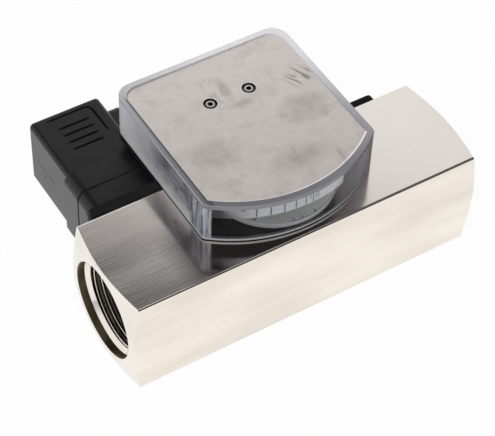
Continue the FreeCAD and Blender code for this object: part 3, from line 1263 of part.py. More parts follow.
os.makedirs("parts", exist_ok=True)
for piece in PIECES:
    piece.Shape.exportStep(f"parts/{piece.Label}.step")
    box = piece.Shape.BoundBox
    print(f"{piece.Label}: {len(piece.Shape.Solids)} solid, {piece.Shape.Volume:.1f} mm3, "
          f"x {box.XMin:.2f} {box.XMax:.2f}, y {box.YMin:.2f} {box.YMax:.2f}, z {box.ZMin:.2f} {box.ZMax:.2f}")
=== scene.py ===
# %% [markdown]
# # A flow meter, dressed from its solids
#
# The object is a variable area flow meter: a square nickel-plated bar with a pipe thread in each end, a clear
# head with a metal plate on its top, and a black housing with a square plug behind it. A piston inside the bar
# is pushed along by the flow, and a magnet on it turns the disc that shows behind the curved window.
#
# The solids are already made and placed. This lesson gives them their finishes and adds the fine work that is
# better drawn than turned: threads, the spring, scale marks, mould lines. It could all be modelled by hand, but
# worked-out surfaces keep every piece exactly where the solids say.

# %% Load the solids
import bpy
import json
import math
import numpy as np
from mathutils import Matrix, Vector


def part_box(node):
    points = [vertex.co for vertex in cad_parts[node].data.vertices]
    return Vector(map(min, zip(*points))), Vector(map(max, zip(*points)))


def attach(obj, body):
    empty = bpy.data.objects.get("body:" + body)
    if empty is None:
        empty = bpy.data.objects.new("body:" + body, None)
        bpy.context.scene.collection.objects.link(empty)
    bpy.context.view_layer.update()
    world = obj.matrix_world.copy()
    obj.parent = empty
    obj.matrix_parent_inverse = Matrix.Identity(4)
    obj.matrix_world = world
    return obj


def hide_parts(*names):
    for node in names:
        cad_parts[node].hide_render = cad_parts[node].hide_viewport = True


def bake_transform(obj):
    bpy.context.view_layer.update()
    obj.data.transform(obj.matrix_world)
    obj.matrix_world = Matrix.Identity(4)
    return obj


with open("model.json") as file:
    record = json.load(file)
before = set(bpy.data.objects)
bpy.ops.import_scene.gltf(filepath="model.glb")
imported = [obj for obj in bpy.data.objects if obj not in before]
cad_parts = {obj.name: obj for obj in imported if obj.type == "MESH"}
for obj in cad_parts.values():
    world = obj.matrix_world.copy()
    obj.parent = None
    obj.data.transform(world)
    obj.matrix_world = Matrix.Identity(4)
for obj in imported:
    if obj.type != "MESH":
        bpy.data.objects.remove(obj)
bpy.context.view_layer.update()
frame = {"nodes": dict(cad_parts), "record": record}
MM = 0.001
BAR_MIDDLE = 20.0
HEAD_CENTRE = (0, 32, 0)

# %% [markdown]
# ## Where the camera stands
#
# The picture looks down on the meter's inlet end from the front left. The place was found by matching the bar's
# long edges and the corners of the head, so the lens is long and the view is nearly without perspective. A
# camera could be aimed with a Track To constraint, but three axes worked out from the aim also hold the slight
# roll of the picture.

# %% Camera
CAMERA_PLACE = np.array([-0.22663605, -0.32148366, 0.47550635])
CAMERA_AIM = np.array([-0.01021631, 0.00276219, 0.03])
CAMERA_ROLL = math.radians(2.7007)
LENS = 131.636


def camera_axes(place, aim, roll):
    """Right, up and backward directions: the level ones first, then turned by the roll about the line of sight."""
    forward = (aim - place) / np.linalg.norm(aim - place)
    level = np.cross(forward, [0.0, 0.0, 1.0])
    level /= np.linalg.norm(level)
    right = level * math.cos(roll) + np.cross(level, forward) * math.sin(roll)
    return right, np.cross(right, forward), -forward


camera_data = bpy.data.cameras.new("photo_camera")
camera_data.sensor_fit = "HORIZONTAL"
camera_data.sensor_width = 36.0
camera_data.lens = LENS
camera_data.clip_start = 0.01
camera = bpy.data.objects.new("photo_camera", camera_data)
bpy.context.scene.collection.objects.link(camera)
turn = np.eye(4)
turn[:3, :3] = np.column_stack(camera_axes(CAMERA_PLACE, CAMERA_AIM, CAMERA_ROLL))
turn[:3, 3] = CAMERA_PLACE
camera.matrix_world = Matrix(turn.tolist())
bpy.context.scene.camera = camera
bpy.context.scene.view_settings.view_transform = "Standard"
print("camera", round(float(np.linalg.norm(CAMERA_AIM - CAMERA_PLACE)), 3), "m away")

# %% [markdown]
# ## A white studio
#
# Polished metal shows its surroundings more than its own colour, so the studio is drawn with care: a white
# backdrop behind and to the right, a dark gap above it, one soft panel straight overhead, and a dim room behind
# the camera. The bar's top shows the edge of that backdrop, and the rounded edges show the panel as a thin bright
# line. Two dark flags stand beside it: the one at the far right keeps reflections off the window, and the one
# in front draws the dark line along the bar's front edge. Lamps with real panels could do the same. A world of
# directions does it with less noise.

# %% Helpers for node trees
def add(tree, kind, inputs=None, **settings):
    """One node. The settings are its properties; the inputs are its sockets, each a value or a socket to link."""
    node = tree.nodes.new(kind)
    for key, value in settings.items():
        setattr(node, key, value)
    for key, value in (inputs or {}).items():
        if isinstance(value, bpy.types.NodeSocket):
            tree.links.new(value, node.inputs[key])
        else:
            node.inputs[key].default_value = value
    return node


def calculate(tree, operation, first, second=0.0, third=0.0):
    """The result socket of one Math node."""
    return add(tree, "ShaderNodeMath", {0: first, 1: second, 2: third}, operation=operation).outputs[0]


def ramp(tree, factor, stops, kind="EASE"):
    """The colour socket of a ramp with (place, colour) stops."""
    node = add(tree, "ShaderNodeValToRGB", {"Fac": factor})
    node.color_ramp.interpolation = kind
    while len(node.color_ramp.elements) < len(stops):
        node.color_ramp.elements.new(0.5)
    for element, (place, colour) in zip(node.color_ramp.elements, stops):
        element.position = place
        element.color = (*colour, 1.0) if not np.isscalar(colour) else (colour, colour, colour, 1.0)
    return node.outputs["Color"]


def spread(tree, value, low, high, start=0.3, end=0.7):
    """A number moved from one range to another, held at the ends."""
    return add(tree, "ShaderNodeMapRange", {"Value": value, "From Min": start, "From Max": end, "To Min": low,
                                            "To Max": high}).outputs["Result"]


def rise(tree, value, start, end):
    """0 before start, 1 after end, and a straight line between them."""
    return spread(tree, value, 0.0, 1.0, start, end)


def fall(tree, value, start, end):
    """1 before start, 0 after end, and a straight line between them."""
    return spread(tree, value, 1.0, 0.0, start, end)


def above(tree, value, limit):
    """1 where a value is greater than a limit, otherwise 0."""
    return calculate(tree, "GREATER_THAN", value, limit)


def below(tree, value, limit):
    """1 where a value is less than a limit, otherwise 0."""
    return calculate(tree, "LESS_THAN", value, limit)


def toward(tree, factor, first, second):
    """A number that goes from the first to the second as the factor goes from 0 to 1."""
    return calculate(tree, "MULTIPLY_ADD", factor, calculate(tree, "SUBTRACT", second, first), first)


def split(tree, vector):
    """The X, Y and Z sockets of a vector."""
    return add(tree, "ShaderNodeSeparateXYZ", {0: vector}).outputs


def blend(tree, factor, first, second):
    """Two colours or numbers mixed by a factor; a number stands for a grey."""
    def colour(value):
        if isinstance(value, bpy.types.NodeSocket):
            return value
        return (value, value, value, 1.0) if np.isscalar(value) else (*value, 1.0)
    return add(tree, "ShaderNodeMixRGB", {0: factor, 1: colour(first), 2: colour(second)}).outputs[0]


def product(tree, *factors):
    """Several numbers multiplied together."""
    result = factors[0]
    for factor in factors[1:]:
        result = calculate(tree, "MULTIPLY", result, factor)
    return result


def zones(tree, sockets, table):
    """The regions of a table, each a number from 0 to 1: the product of its edges. An edge names a socket, the kind
    of step and the limits of the step."""
    return {name: product(tree, *[step(tree, sockets[measure], *limits) for measure, step, *limits in edges])
            for name, edges in table.items()}


# %% World
BACKDROP = [(0.0, 0.97), (0.574, 0.43), (0.70, 0.22), (1.0, 0.02)]
BACKDROP_LEAN, BACKDROP_EDGE = -0.15, (0.676, 0.7335)
COOL_TINT = [(0.0, (0.0, 0.0, 0.0)), (0.40, (0.405, 0.390, 0.420)), (1.0, (1.0, 1.0, 1.0))]
OVERHEAD, ROOM, ROOM_GAP, RIGHT_FLAG, FRONT_FLAG = 0.90, 0.45, 0.12, 0.14, 0.02
STUDIO = {
    "overhead": [("Z", rise, 0.90, 0.95)],
    "gap": [("Z", rise, 0.58, 0.66), ("Z", fall, 0.84, 0.90)],
    "room": [("Y", fall, -0.36, -0.06)],
    "right_flag": [("X", rise, 0.50, 0.58), ("Z", rise, 0.35, 0.50), ("Y", rise, -0.35, -0.15)],
    "front_flag": [("X", rise, 0.20, 0.27), ("X", fall, 0.47, 0.54), ("Y", fall, -0.60, -0.50),
                   ("Z", rise, -0.10, 0.0)],
    "low": [("Z", below, 0.3)],
}

world = bpy.data.worlds.new("studio")
world.use_nodes = True
bpy.context.scene.world = world
sky = world.node_tree
sky.nodes.clear()
way = split(sky, add(sky, "ShaderNodeTexCoord").outputs["Generated"])
at = zones(sky, way, STUDIO)

leaning = calculate(sky, "MULTIPLY_ADD", way["X"], BACKDROP_LEAN, way["Z"])
lit = ramp(sky, rise(sky, leaning, *BACKDROP_EDGE), BACKDROP, "LINEAR")
lit = toward(sky, at["overhead"], lit, OVERHEAD)
lit = toward(sky, at["room"], lit, spread(sky, at["gap"], ROOM, ROOM_GAP, 0.0, 1.0))
lit = toward(sky, at["right_flag"], lit, RIGHT_FLAG)
lit = toward(sky, at["front_flag"], lit, FRONT_FLAG)

rays = add(sky, "ShaderNodeLightPath").outputs
through = product(sky, rays["Is Transmission Ray"], at["low"])
seen = calculate(sky, "MAXIMUM", rays["Is Camera Ray"], through)
shown = blend(sky, seen, ramp(sky, lit, COOL_TINT, "LINEAR"), 1.0)
light = add(sky, "ShaderNodeBackground", {"Color": shown, "Strength": 1.0}).outputs[0]
add(sky, "ShaderNodeOutputWorld", {"Surface": light})
print("studio with", len(sky.nodes), "nodes")

# %% [markdown]
# ### Key lamp and floor
#
# One large round lamp from the upper left gives the plastics their light. A sun would be simpler, but its shadow
# would be hard. The lamp hides from mirrors and clear pieces, which already show the world. The floor is white paper:
# it glows where it is looked at or mirrored, and is plain matt paper for everything else, so that a faint shadow
# stays.

# %% Key lamp
LAMP_PLACE = Vector((-0.35, -0.25, 0.75))

lamp_data = bpy.data.lights.new("key", "AREA")
lamp_data.shape = "DISK"
lamp_data.size = 0.7
lamp_data.energy = 5.0
lamp = bpy.data.objects.new("key", lamp_data)
bpy.context.scene.collection.objects.link(lamp)
lamp_turn = (-LAMP_PLACE).to_track_quat("-Z", "Y").to_matrix().to_4x4()
lamp.matrix_world = Matrix.Translation(LAMP_PLACE) @ lamp_turn
lamp.visible_glossy = False
lamp.visible_transmission = False
print("lamp", lamp_data.energy, "W")

# %% Floor
FLOOR_HALF, FLOOR_LEVEL = 3.0, -0.0004
CORNERS = ((-1, -1), (1, -1), (1, 1), (-1, 1))
GLOW = 0.95

floor_mesh = bpy.data.meshes.new("floor")
floor_mesh.from_pydata([(x * FLOOR_HALF, y * FLOOR_HALF, FLOOR_LEVEL) for x, y in CORNERS], [], [(0, 1, 2, 3)])
floor = bpy.data.objects.new("floor", floor_mesh)
bpy.context.scene.collection.objects.link(floor)
paper = bpy.data.materials.new("studio_paper")
paper.use_nodes = True
tree = paper.node_tree
tree.nodes.clear()
rays = add(tree, "ShaderNodeLightPath").outputs
mirrored = calculate(tree, "MAXIMUM", rays["Is Glossy Ray"], rays["Is Transmission Ray"])
seen = calculate(tree, "MAXIMUM", rays["Is Camera Ray"], mirrored)
matt = add(tree, "ShaderNodeBsdfDiffuse", {"Color": (0.84, 0.84, 0.84, 1)}).outputs[0]
white = add(tree, "ShaderNodeEmission", {"Color": (1, 1, 1, 1), "Strength": 1.0}).outputs[0]
mixed = add(tree, "ShaderNodeMixShader", {0: product(tree, seen, GLOW), 1: matt, 2: white}).outputs[0]
add(tree, "ShaderNodeOutputMaterial", {"Surface": mixed})
paper.cycles.emission_sampling = "NONE"
floor.data.materials.append(paper)
print("floor at", FLOOR_LEVEL / MM, "mm")

# %% [markdown]
# ## Finishes
#
# Every finish is worked out from the place of a point on the piece, so nothing has to be unwrapped. Metals get
# their look from three things: a base colour with a slight mottle, a roughness that wanders, and very fine
# lines from the last tool that touched them. Image textures would be quicker to pick, but they would not fit the
# pieces' own sizes.

# %% Helpers for finishes
FINISHES = {}


def new_finish(slot, **sockets):
    """A material for one slot with a Principled shader; the sockets are constants set on it."""
    material = bpy.data.materials.new(slot)
    material.use_nodes = True
    shader = material.node_tree.nodes["Principled BSDF"]
    for name, value in sockets.items():
        shader.inputs[name.replace("_", " ")].default_value = value
    FINISHES[slot] = material
    return material.node_tree, shader


def in_mm(tree, stretch=(1, 1, 1), move=(0, 0, 0)):
    """The point's place in millimetres, moved so that a pattern is centred, then stretched along the axes."""
    place = add(tree, "ShaderNodeTexCoord").outputs["Object"]
    place = add(tree, "ShaderNodeVectorMath", {0: place, 1: (1 / MM,) * 3}, operation="MULTIPLY").outputs[0]
    place = add(tree, "ShaderNodeVectorMath", {0: place, 1: move}, operation="SUBTRACT").outputs[0]
    return add(tree, "ShaderNodeVectorMath", {0: place, 1: stretch}, operation="MULTIPLY").outputs[0]


def clouds(tree, place, scale, detail=3.0, roughness=0.55):
    """Noise from 0 to 1; the scale is the number of blotches in a millimetre."""
    return add(tree, "ShaderNodeTexNoise", {"Vector": place, "Scale": scale, "Detail": detail,
                                            "Roughness": roughness}).outputs["Fac"]


def paint(tree, shader, socket, value):
    """Links a value to one socket of the shader."""
    tree.links.new(value, shader.inputs[socket])


def raise_by(tree, shader, heights, depth_mm, strength=1.0):
    """Bump from a height of 0 to 1, the depth given in millimetres."""
    bump = add(tree, "ShaderNodeBump", {"Height": heights, "Distance": depth_mm * MM, "Strength": strength})
    paint(tree, shader, "Normal", bump.outputs[0])


def length(tree, vector):
    """The length of a vector."""
    return add(tree, "ShaderNodeVectorMath", {0: vector}, operation="LENGTH").outputs["Value"]


def away_from_axis(tree, axis, move):
    """Distance of a point from an axis along X, Y or Z through a place, in millimetres."""
    keep = tuple(0.0 if name == axis else 1.0 for name in "XYZ")
    return length(tree, in_mm(tree, keep, move))


def facing(tree):
    """The X, Y and Z sockets of the direction that a face points to."""
    return split(tree, add(tree, "ShaderNodeNewGeometry").outputs["True Normal"])


def finish_of(slot):
    """The node tree and the shader of a finish made before."""
    tree = FINISHES[slot].node_tree
    return tree, tree.nodes["Principled BSDF"]


# %% [markdown]
# ### Nickel plating on the bar
#
# The bar is milled, brushed along its length and plated with nickel, which is a little warmer than steel. The
# fine lines run along X on the flat sides, and the turned end faces and threads have rings instead. One could split
# the bar into several materials. Here one finish looks at the direction a face points to, which keeps the change of
# pattern exactly on the edges.

# %% Nickel plate: zones
FACES_UP = 0.9
BAR = {
    "end": [("end_tilt", above, 0.2)],
    "front": [("back_tilt", below, -0.7)],
    "bevel": [("end_tilt", above, 0.2), ("along", above, 61.3)],
    "bore": [("radius", below, 17.05)],
    # crest and root mark where the thread gets painted highlights
    "crest": [("radius", fall, 15.50, 15.60), ("radius", rise, 15.21, 15.23)],
    "root": [("radius", rise, 16.45, 16.55)],
    "mouth": [("radius", above, 16.75)],
    # a painted dark reflection of the head on the bar's top
    "painted_reflection": [("x", rise, -47.0, -41.0), ("x", fall, -34.0, -31.0), ("y", fall, -3.0, 6.0),
               ("up_tilt", above, FACES_UP)],
    "under_head": [("along", below, 29.9), ("up_tilt", above, FACES_UP), ("from_head", below, 47.0),
                   ("radius", above, 19.5)],
    # the right end of the dark floor under the head is painted lighter as painted light
    "painted_light_right": [("x", rise, 12.0, 22.0)],
}

tree, shader = new_finish("nickel_plate", Metallic=1.0)
normal, spot = facing(tree), split(tree, in_mm(tree))
radius = away_from_axis(tree, "X", (0, 0, BAR_MIDDLE))
at = zones(tree, {
    "x": spot["X"], "y": spot["Y"], "along": calculate(tree, "ABSOLUTE", spot["X"]), "radius": radius,
    "from_head": away_from_axis(tree, "Z", HEAD_CENTRE), "up_tilt": normal["Z"], "back_tilt": normal["Y"],
    "end_tilt": calculate(tree, "ABSOLUTE", normal["X"]),
}, BAR)
print("nickel_plate:", len(at), "zones")

# %% Nickel plate: lines, rings and mottle
PLATED = [(0.30, (0.775, 0.73, 0.675)), (0.70, (0.93, 0.885, 0.82))]
WARM = (1.0, 0.98, 0.945, 1.0)

lines = clouds(tree, in_mm(tree, (0.014, 1, 1)), 2.6, 6.0, 0.75)
rings = clouds(tree, add(tree, "ShaderNodeCombineXYZ", {0: radius}).outputs[0], 6.0, 2.0)
tool_marks = blend(tree, at["end"], lines, rings)
smudges = clouds(tree, in_mm(tree, (0.25, 1, 1)), 0.07, 3.0, 0.5)
lined = calculate(tree, "MULTIPLY_ADD", at["front"], -0.42, 0.6)
mottled = product(tree, smudges, calculate(tree, "MULTIPLY_ADD", at["front"], 0.42, 0.4))
tone = ramp(tree, calculate(tree, "MULTIPLY_ADD", tool_marks, lined, mottled), PLATED)
tone = add(tree, "ShaderNodeMixRGB", {0: at["front"], 1: tone, 2: WARM}, blend_type="MULTIPLY").outputs[0]
raise_by(tree, shader, tool_marks, 0.010, 0.5)
print("nickel_plate:", len(tree.nodes), "nodes so far")

# %% [markdown]
# ### Painted shade in the threads, a dark floor under the head
#
# The threads are painted near black as shade inside the bore, with painted highlights on their crests and roots.
# Under the clear head the bar's top is coloured near black, and to the right it turns a light brown-grey, which is
# painted light where the head keeps the light out. Beside the head's front left corner the plating is darkened as a
# painted reflection of the head. Thin shells could carry all this, but zones in the same finish add no surfaces.

# %% Nickel plate: painted shade and highlights in the threads, tones under and beside the head
PAINTED_BORE_SHADE, PAINTED_THREAD_HIGHLIGHT = (0.03, 0.027, 0.020), (0.80, 0.75, 0.64)
OLIVE = [(0.35, (0.24, 0.205, 0.125)), (0.65, (0.42, 0.37, 0.25))]
PAINTED_REFLECTION, PAINTED_REFLECTION_WEIGHT = (0.42, 0.395, 0.37), 0.8
UNDER_HEAD_BLACK, PAINTED_LIGHT_TONE = (0.012, 0.012, 0.011), (0.60, 0.54, 0.49)

inside = product(tree, at["bore"], calculate(tree, "SUBTRACT", 1.0, at["bevel"]))
# Painted shade inside the bore, with painted highlights on the thread's crests and roots
painted_thread = blend(tree, calculate(tree, "ADD", at["crest"], at["root"]), PAINTED_BORE_SHADE, PAINTED_THREAD_HIGHLIGHT)
mouth = ramp(tree, clouds(tree, in_mm(tree), 0.12, 3.0), OLIVE)
bore_tone = blend(tree, at["mouth"], painted_thread, mouth)
# Painted dark reflection of the head beside its front left corner
tone = blend(tree, product(tree, at["painted_reflection"], PAINTED_REFLECTION_WEIGHT), tone, PAINTED_REFLECTION)
tone = blend(tree, inside, tone, bore_tone)
# Near black under the head, painted lighter to the right as painted light where the head keeps the light out
under_head_tone = blend(tree, at["painted_light_right"], UNDER_HEAD_BLACK, PAINTED_LIGHT_TONE)
paint(tree, shader, "Base Color", blend(tree, at["under_head"], tone, under_head_tone))
paint(tree, shader, "Metallic", calculate(tree, "SUBTRACT", 1.0, at["under_head"]))
polish = calculate(tree, "ADD", spread(tree, smudges, 0.10, 0.16), spread(tree, tool_marks, -0.02, 0.06))
worn = calculate(tree, "MULTIPLY_ADD", inside, 0.18, polish)
paint(tree, shader, "Roughness", calculate(tree, "MULTIPLY_ADD", at["under_head"], 0.3, worn))
print("nickel_plate:", len(tree.nodes), "nodes")

# %% [markdown]
# ### The plate on the head
#
# The plate is bare stainless steel, brushed finer and duller than the bar, with rubbed patches, a few scratches from
# handling and a painted highlight along its bent front edge and its sides. Its underside and its screw holes are
# painted dark as shade. Each patch is an oval with a place, a width, a depth and a weight, because a painted picture
# of them would not fit the plate's own size.

# %% Plate steel: tones and marks
HANDLED = [(18.3, 15.5, 9.0, 6.5, 0.90), (-17.8, 11.6, 8.0, 6.5, 0.80), (6.0, -3.0, 12.0, 5.0, 0.75),
           (0.2, 35.0, 1.6, 6.0, 0.80), (3.0, 26.8, 3.6, 1.8, 0.70)]
BRUSHED = [(0.30, (0.81, 0.752, 0.712)), (0.70, (0.98, 0.92, 0.88))]
STAIN, PATCH, SCUFF, SMEAR = (0.65, 0.595, 0.52), (0.50, 0.455, 0.40), (0.33, 0.305, 0.285), (0.47, 0.44, 0.41)
SCUFF_PLACE, SCUFF_TURN = (25.0, 28.3, 0), math.radians(62)

tree, shader = new_finish("plate_steel", Metallic=1.0)
lines = clouds(tree, in_mm(tree, (0.05, 1, 1)), 7.0, 2.0)
rubbed = clouds(tree, in_mm(tree), 0.11, 5.0, 0.62)
stains = clouds(tree, in_mm(tree, (1, 1, 1), (40, 7, 0)), 0.16, 5.0, 0.68)
smears = clouds(tree, in_mm(tree, (0.9, 0.28, 1), (3, 60, 0)), 0.17, 5.0, 0.7)
tone = ramp(tree, calculate(tree, "MULTIPLY_ADD", lines, 0.2, product(tree, rubbed, 0.8)), BRUSHED)
tone = blend(tree, spread(tree, stains, 0.0, 0.75, 0.52, 0.74), tone, STAIN)
uneven = spread(tree, rubbed, 1.0, 0.4, 0.35, 0.65)
for x, y, wide, deep, weight in HANDLED:
    outwards = length(tree, in_mm(tree, (1 / wide, 1 / deep, 0), (x, y, 0)))
    tone = blend(tree, product(tree, spread(tree, outwards, weight, 0.0, 0.3, 1.2), uneven), tone, PATCH)
turned = add(tree, "ShaderNodeMapping", {"Vector": in_mm(tree), "Rotation": (0, 0, SCUFF_TURN)}).outputs[0]
drawn = add(tree, "ShaderNodeVectorMath", {0: turned, 1: (0.14, 1, 1)}, operation="MULTIPLY").outputs[0]
scuffs = product(tree, rise(tree, clouds(tree, drawn, 1.1, 3.0, 0.6), 0.50, 0.58),
                 fall(tree, away_from_axis(tree, "Z", SCUFF_PLACE), 2.5, 6.0))
tone = blend(tree, scuffs, tone, SCUFF)
tone = blend(tree, spread(tree, smears, 0.0, 0.85, 0.62, 0.76), tone, SMEAR)
raise_by(tree, shader, lines, 0.004, 0.5)
print("plate_steel:", len(HANDLED), "patches")

# %% Plate steel: painted edge highlight, painted shade underneath and in the holes
PLATE_FRONT, PLATE_SIDE = 46.8, 29.9
COVER_SCREWS = [(-7.35, 32.0), (7.35, 32.0)]
PAINTED_EDGE_HIGHLIGHT, UNDERSIDE_SHADE = (0.97, 0.94, 0.90), (0.02, 0.02, 0.022)
EDGE_HIGHLIGHT_BAND, BENT_BAND, HOLE_BAND = (-0.42, -0.22), (-0.60, -0.45), (2.28, 2.42)
FACES_DOWN = -0.5


def from_screws(tree):
    """Distance from the nearer axis of the two cover screws, in millimetres."""
    return calculate(tree, "MINIMUM", *[away_from_axis(tree, "Z", (x, y, 0)) for x, y in COVER_SCREWS])


across = calculate(tree, "ABSOLUTE", split(tree, in_mm(tree))["X"])
past_front = calculate(tree, "SUBTRACT", away_from_axis(tree, "Z", HEAD_CENTRE), PLATE_FRONT)
past_edge = calculate(tree, "MAXIMUM", past_front, calculate(tree, "SUBTRACT", across, PLATE_SIDE))
# Painted highlight along the plate's front and side edges
tone = blend(tree, rise(tree, past_edge, *EDGE_HIGHLIGHT_BAND), tone, PAINTED_EDGE_HIGHLIGHT)
# The plate's underside and its screw holes are painted dark as shade
in_hole = fall(tree, from_screws(tree), *HOLE_BAND)
painted_shade = calculate(tree, "MAXIMUM", below(tree, facing(tree)["Z"], FACES_DOWN), in_hole)
paint(tree, shader, "Base Color", blend(tree, painted_shade, tone, UNDERSIDE_SHADE))
paint(tree, shader, "Roughness", calculate(tree, "MULTIPLY_ADD", painted_shade, 0.3, spread(tree, rubbed, 0.27, 0.38)))
paint(tree, shader, "Metallic", fall(tree, past_front, *BENT_BAND))
print("plate_steel:", len(tree.nodes), "nodes")

# %% [markdown]
# ### Other metals
#
# Turned brass, spring wire, screws, contacts and magnets differ in colour and polish only, so one loop makes them
# all: fine rings about the bar's axis and a grain. The sockets of the cover's screws have painted shade at the
# bottom.

# %% Other metals
METALS = {
    "turned_brass": ((0.40, 0.29, 0.13), (0.52, 0.39, 0.19), 0.26, 0.38),
    "spring_steel": ((0.42, 0.42, 0.42), (0.55, 0.55, 0.56), 0.24, 0.36),
    "bare_steel": ((0.50, 0.49, 0.47), (0.64, 0.63, 0.61), 0.24, 0.36),
    "contact_tin": ((0.62, 0.62, 0.63), (0.75, 0.75, 0.76), 0.28, 0.40),
    "magnet": ((0.055, 0.055, 0.06), (0.11, 0.11, 0.115), 0.42, 0.58),
}
SOCKET_WALL, SOCKET_TOP, SOCKET_SHADE = (0.92, 0.97), 55.8, 0.01

for slot, (dark, bright, smooth, rough) in METALS.items():
    tree, shader = new_finish(slot, Metallic=1.0)
    radius = away_from_axis(tree, "X", (0, 0, BAR_MIDDLE))
    rings = clouds(tree, add(tree, "ShaderNodeCombineXYZ", {0: radius}).outputs[0], 5.0, 2.0)
    grain = clouds(tree, in_mm(tree), 1.3, 4.0)
    marks = calculate(tree, "MULTIPLY_ADD", rings, 0.5, product(tree, grain, 0.5))
    paint(tree, shader, "Base Color", ramp(tree, marks, [(0.35, dark), (0.65, bright)]))
    paint(tree, shader, "Roughness", spread(tree, grain, smooth, rough))
    raise_by(tree, shader, marks, 0.006, 0.4)

tree, shader = finish_of("bare_steel")
# Painted shade at the bottom of the screw sockets
socket_shade = product(tree, fall(tree, from_screws(tree), *SOCKET_WALL),
                 below(tree, split(tree, in_mm(tree))["Z"], SOCKET_TOP))
bare = shader.inputs["Base Color"].links[0].from_socket
paint(tree, shader, "Base Color", blend(tree, socket_shade, bare, SOCKET_SHADE))
print("metals:", sorted(FINISHES))

# %% [markdown]
# ### Plastics and rubber
#
# The housing and the plug are fine-grained black mouldings, the disc is a pale grey-green moulding whose rim is
# painted lighter as a painted highlight, and the seals are rubber. One loop makes the plain ones, and three of them
# are then faded at one end: the top of the black shelf is dull, the scale's left end has painted shade, and the pale
# seal is dark at its foot.

# %% Mouldings
MOULDED = {
    "black_plastic": ((0.004, 0.004, 0.0044), (0.008, 0.008, 0.0088), 0.26, 0.36, 3.2, 0.012),
    "grey_plastic": ((0.24, 0.24, 0.25), (0.30, 0.30, 0.31), 0.42, 0.52, 2.4, 0.008),
    "white_plastic": ((0.76, 0.76, 0.72), (0.84, 0.84, 0.80), 0.38, 0.48, 2.0, 0.006),
    "plunger_plastic": ((0.44, 0.10, 0.06), (0.54, 0.14, 0.08), 0.36, 0.46, 2.0, 0.006),
    "scale_film": ((0.76, 0.76, 0.78), (0.84, 0.84, 0.86), 0.40, 0.50, 1.6, 0.003),
    "pointer_paint": ((0.003, 0.003, 0.003), (0.006, 0.006, 0.006), 0.45, 0.58, 4.0, 0.006),
    "seal_rubber": ((0.010, 0.010, 0.010), (0.020, 0.020, 0.020), 0.62, 0.78, 2.6, 0.020),
    "pale_silicone": ((0.56, 0.57, 0.61), (0.66, 0.67, 0.71), 0.40, 0.52, 1.2, 0.010),
}
INDICES = {"black_plastic": 1.42, "pointer_paint": 1.06}

for slot, (dark, bright, smooth, rough, grain_scale, depth) in MOULDED.items():
    tree, shader = new_finish(slot)
    grain = clouds(tree, in_mm(tree), grain_scale, 4.0, 0.6)
    flow = clouds(tree, in_mm(tree), 0.12, 3.0)
    marks = calculate(tree, "MULTIPLY_ADD", grain, 0.5, product(tree, flow, 0.5))
    paint(tree, shader, "Base Color", ramp(tree, marks, [(0.35, dark), (0.65, bright)]))
    paint(tree, shader, "Roughness", spread(tree, marks, smooth, rough))
    raise_by(tree, shader, grain, depth, 0.6)


def retouch(slot, socket, axis, start, end, value):
    """Fades one socket of a finished material to a value while the point moves from start to end along an axis."""
    tree, shader = finish_of(slot)
    along = split(tree, in_mm(tree))[axis]
    before = shader.inputs[socket].links[0].from_socket
    paint(tree, shader, socket, blend(tree, rise(tree, along, start, end), before, value))


retouch("black_plastic", "Roughness", "Z", 39.2, 39.6, 0.9)
# Painted shade over the scale's left end
retouch("scale_film", "Base Color", "X", -16.0, -27.0, (0.11, 0.11, 0.115))
retouch("pale_silicone", "Base Color", "Z", 40.54, 40.50, (0.02, 0.02, 0.022))
for slot, index in INDICES.items():
    finish_of(slot)[1].inputs["IOR"].default_value = index
print("mouldings:", sorted(MOULDED))

# %% Disc plastic with a painted highlight on its rim
DISC_MIDDLE = 6.0
DISC_TONES = [(0.3, (0.80, 0.815, 0.74)), (0.7, (0.88, 0.90, 0.825))]
DISC_RIM_HIGHLIGHT, DISC_RIM_EDGE = (0.92, 0.94, 0.89), (19.2, 19.8)

tree, shader = new_finish("disc_plastic")
grain = clouds(tree, in_mm(tree), 0.8, 4.0)
rim = rise(tree, away_from_axis(tree, "Z", (0, DISC_MIDDLE, 0)), *DISC_RIM_EDGE)
# The rim is painted lighter: a painted highlight
paint(tree, shader, "Base Color", blend(tree, rim, ramp(tree, grain, DISC_TONES), DISC_RIM_HIGHLIGHT))
paint(tree, shader, "Roughness", spread(tree, grain, 0.32, 0.44))
raise_by(tree, shader, grain, 0.01, 0.4)
print("disc_plastic:", len(tree.nodes), "nodes")

# %% [markdown]
# ### The clear cover
#
# The cover is one clear moulding, but it doesn't look the same everywhere. The curved window is polished, the side
# walls are milky, and the corners show upright streaks. Much of its colour is painted light and shade: the walls are
# painted lighter towards the back and the bottom, the rim and its recess get a painted gradient from dark at the
# front left to bright at the back right, the walls' top edge and the foot get painted highlights as thin lines, and
# the rim's front face, the right wall, a line beside the plate's left edge and the roof's underside get painted
# shade. A glass shader alone gives the window. The rest needs zones: each is a number from 0 to 1, worked out from
# the place of a point and the direction its face points to. Colour and clearness are then laid on, zone after zone.

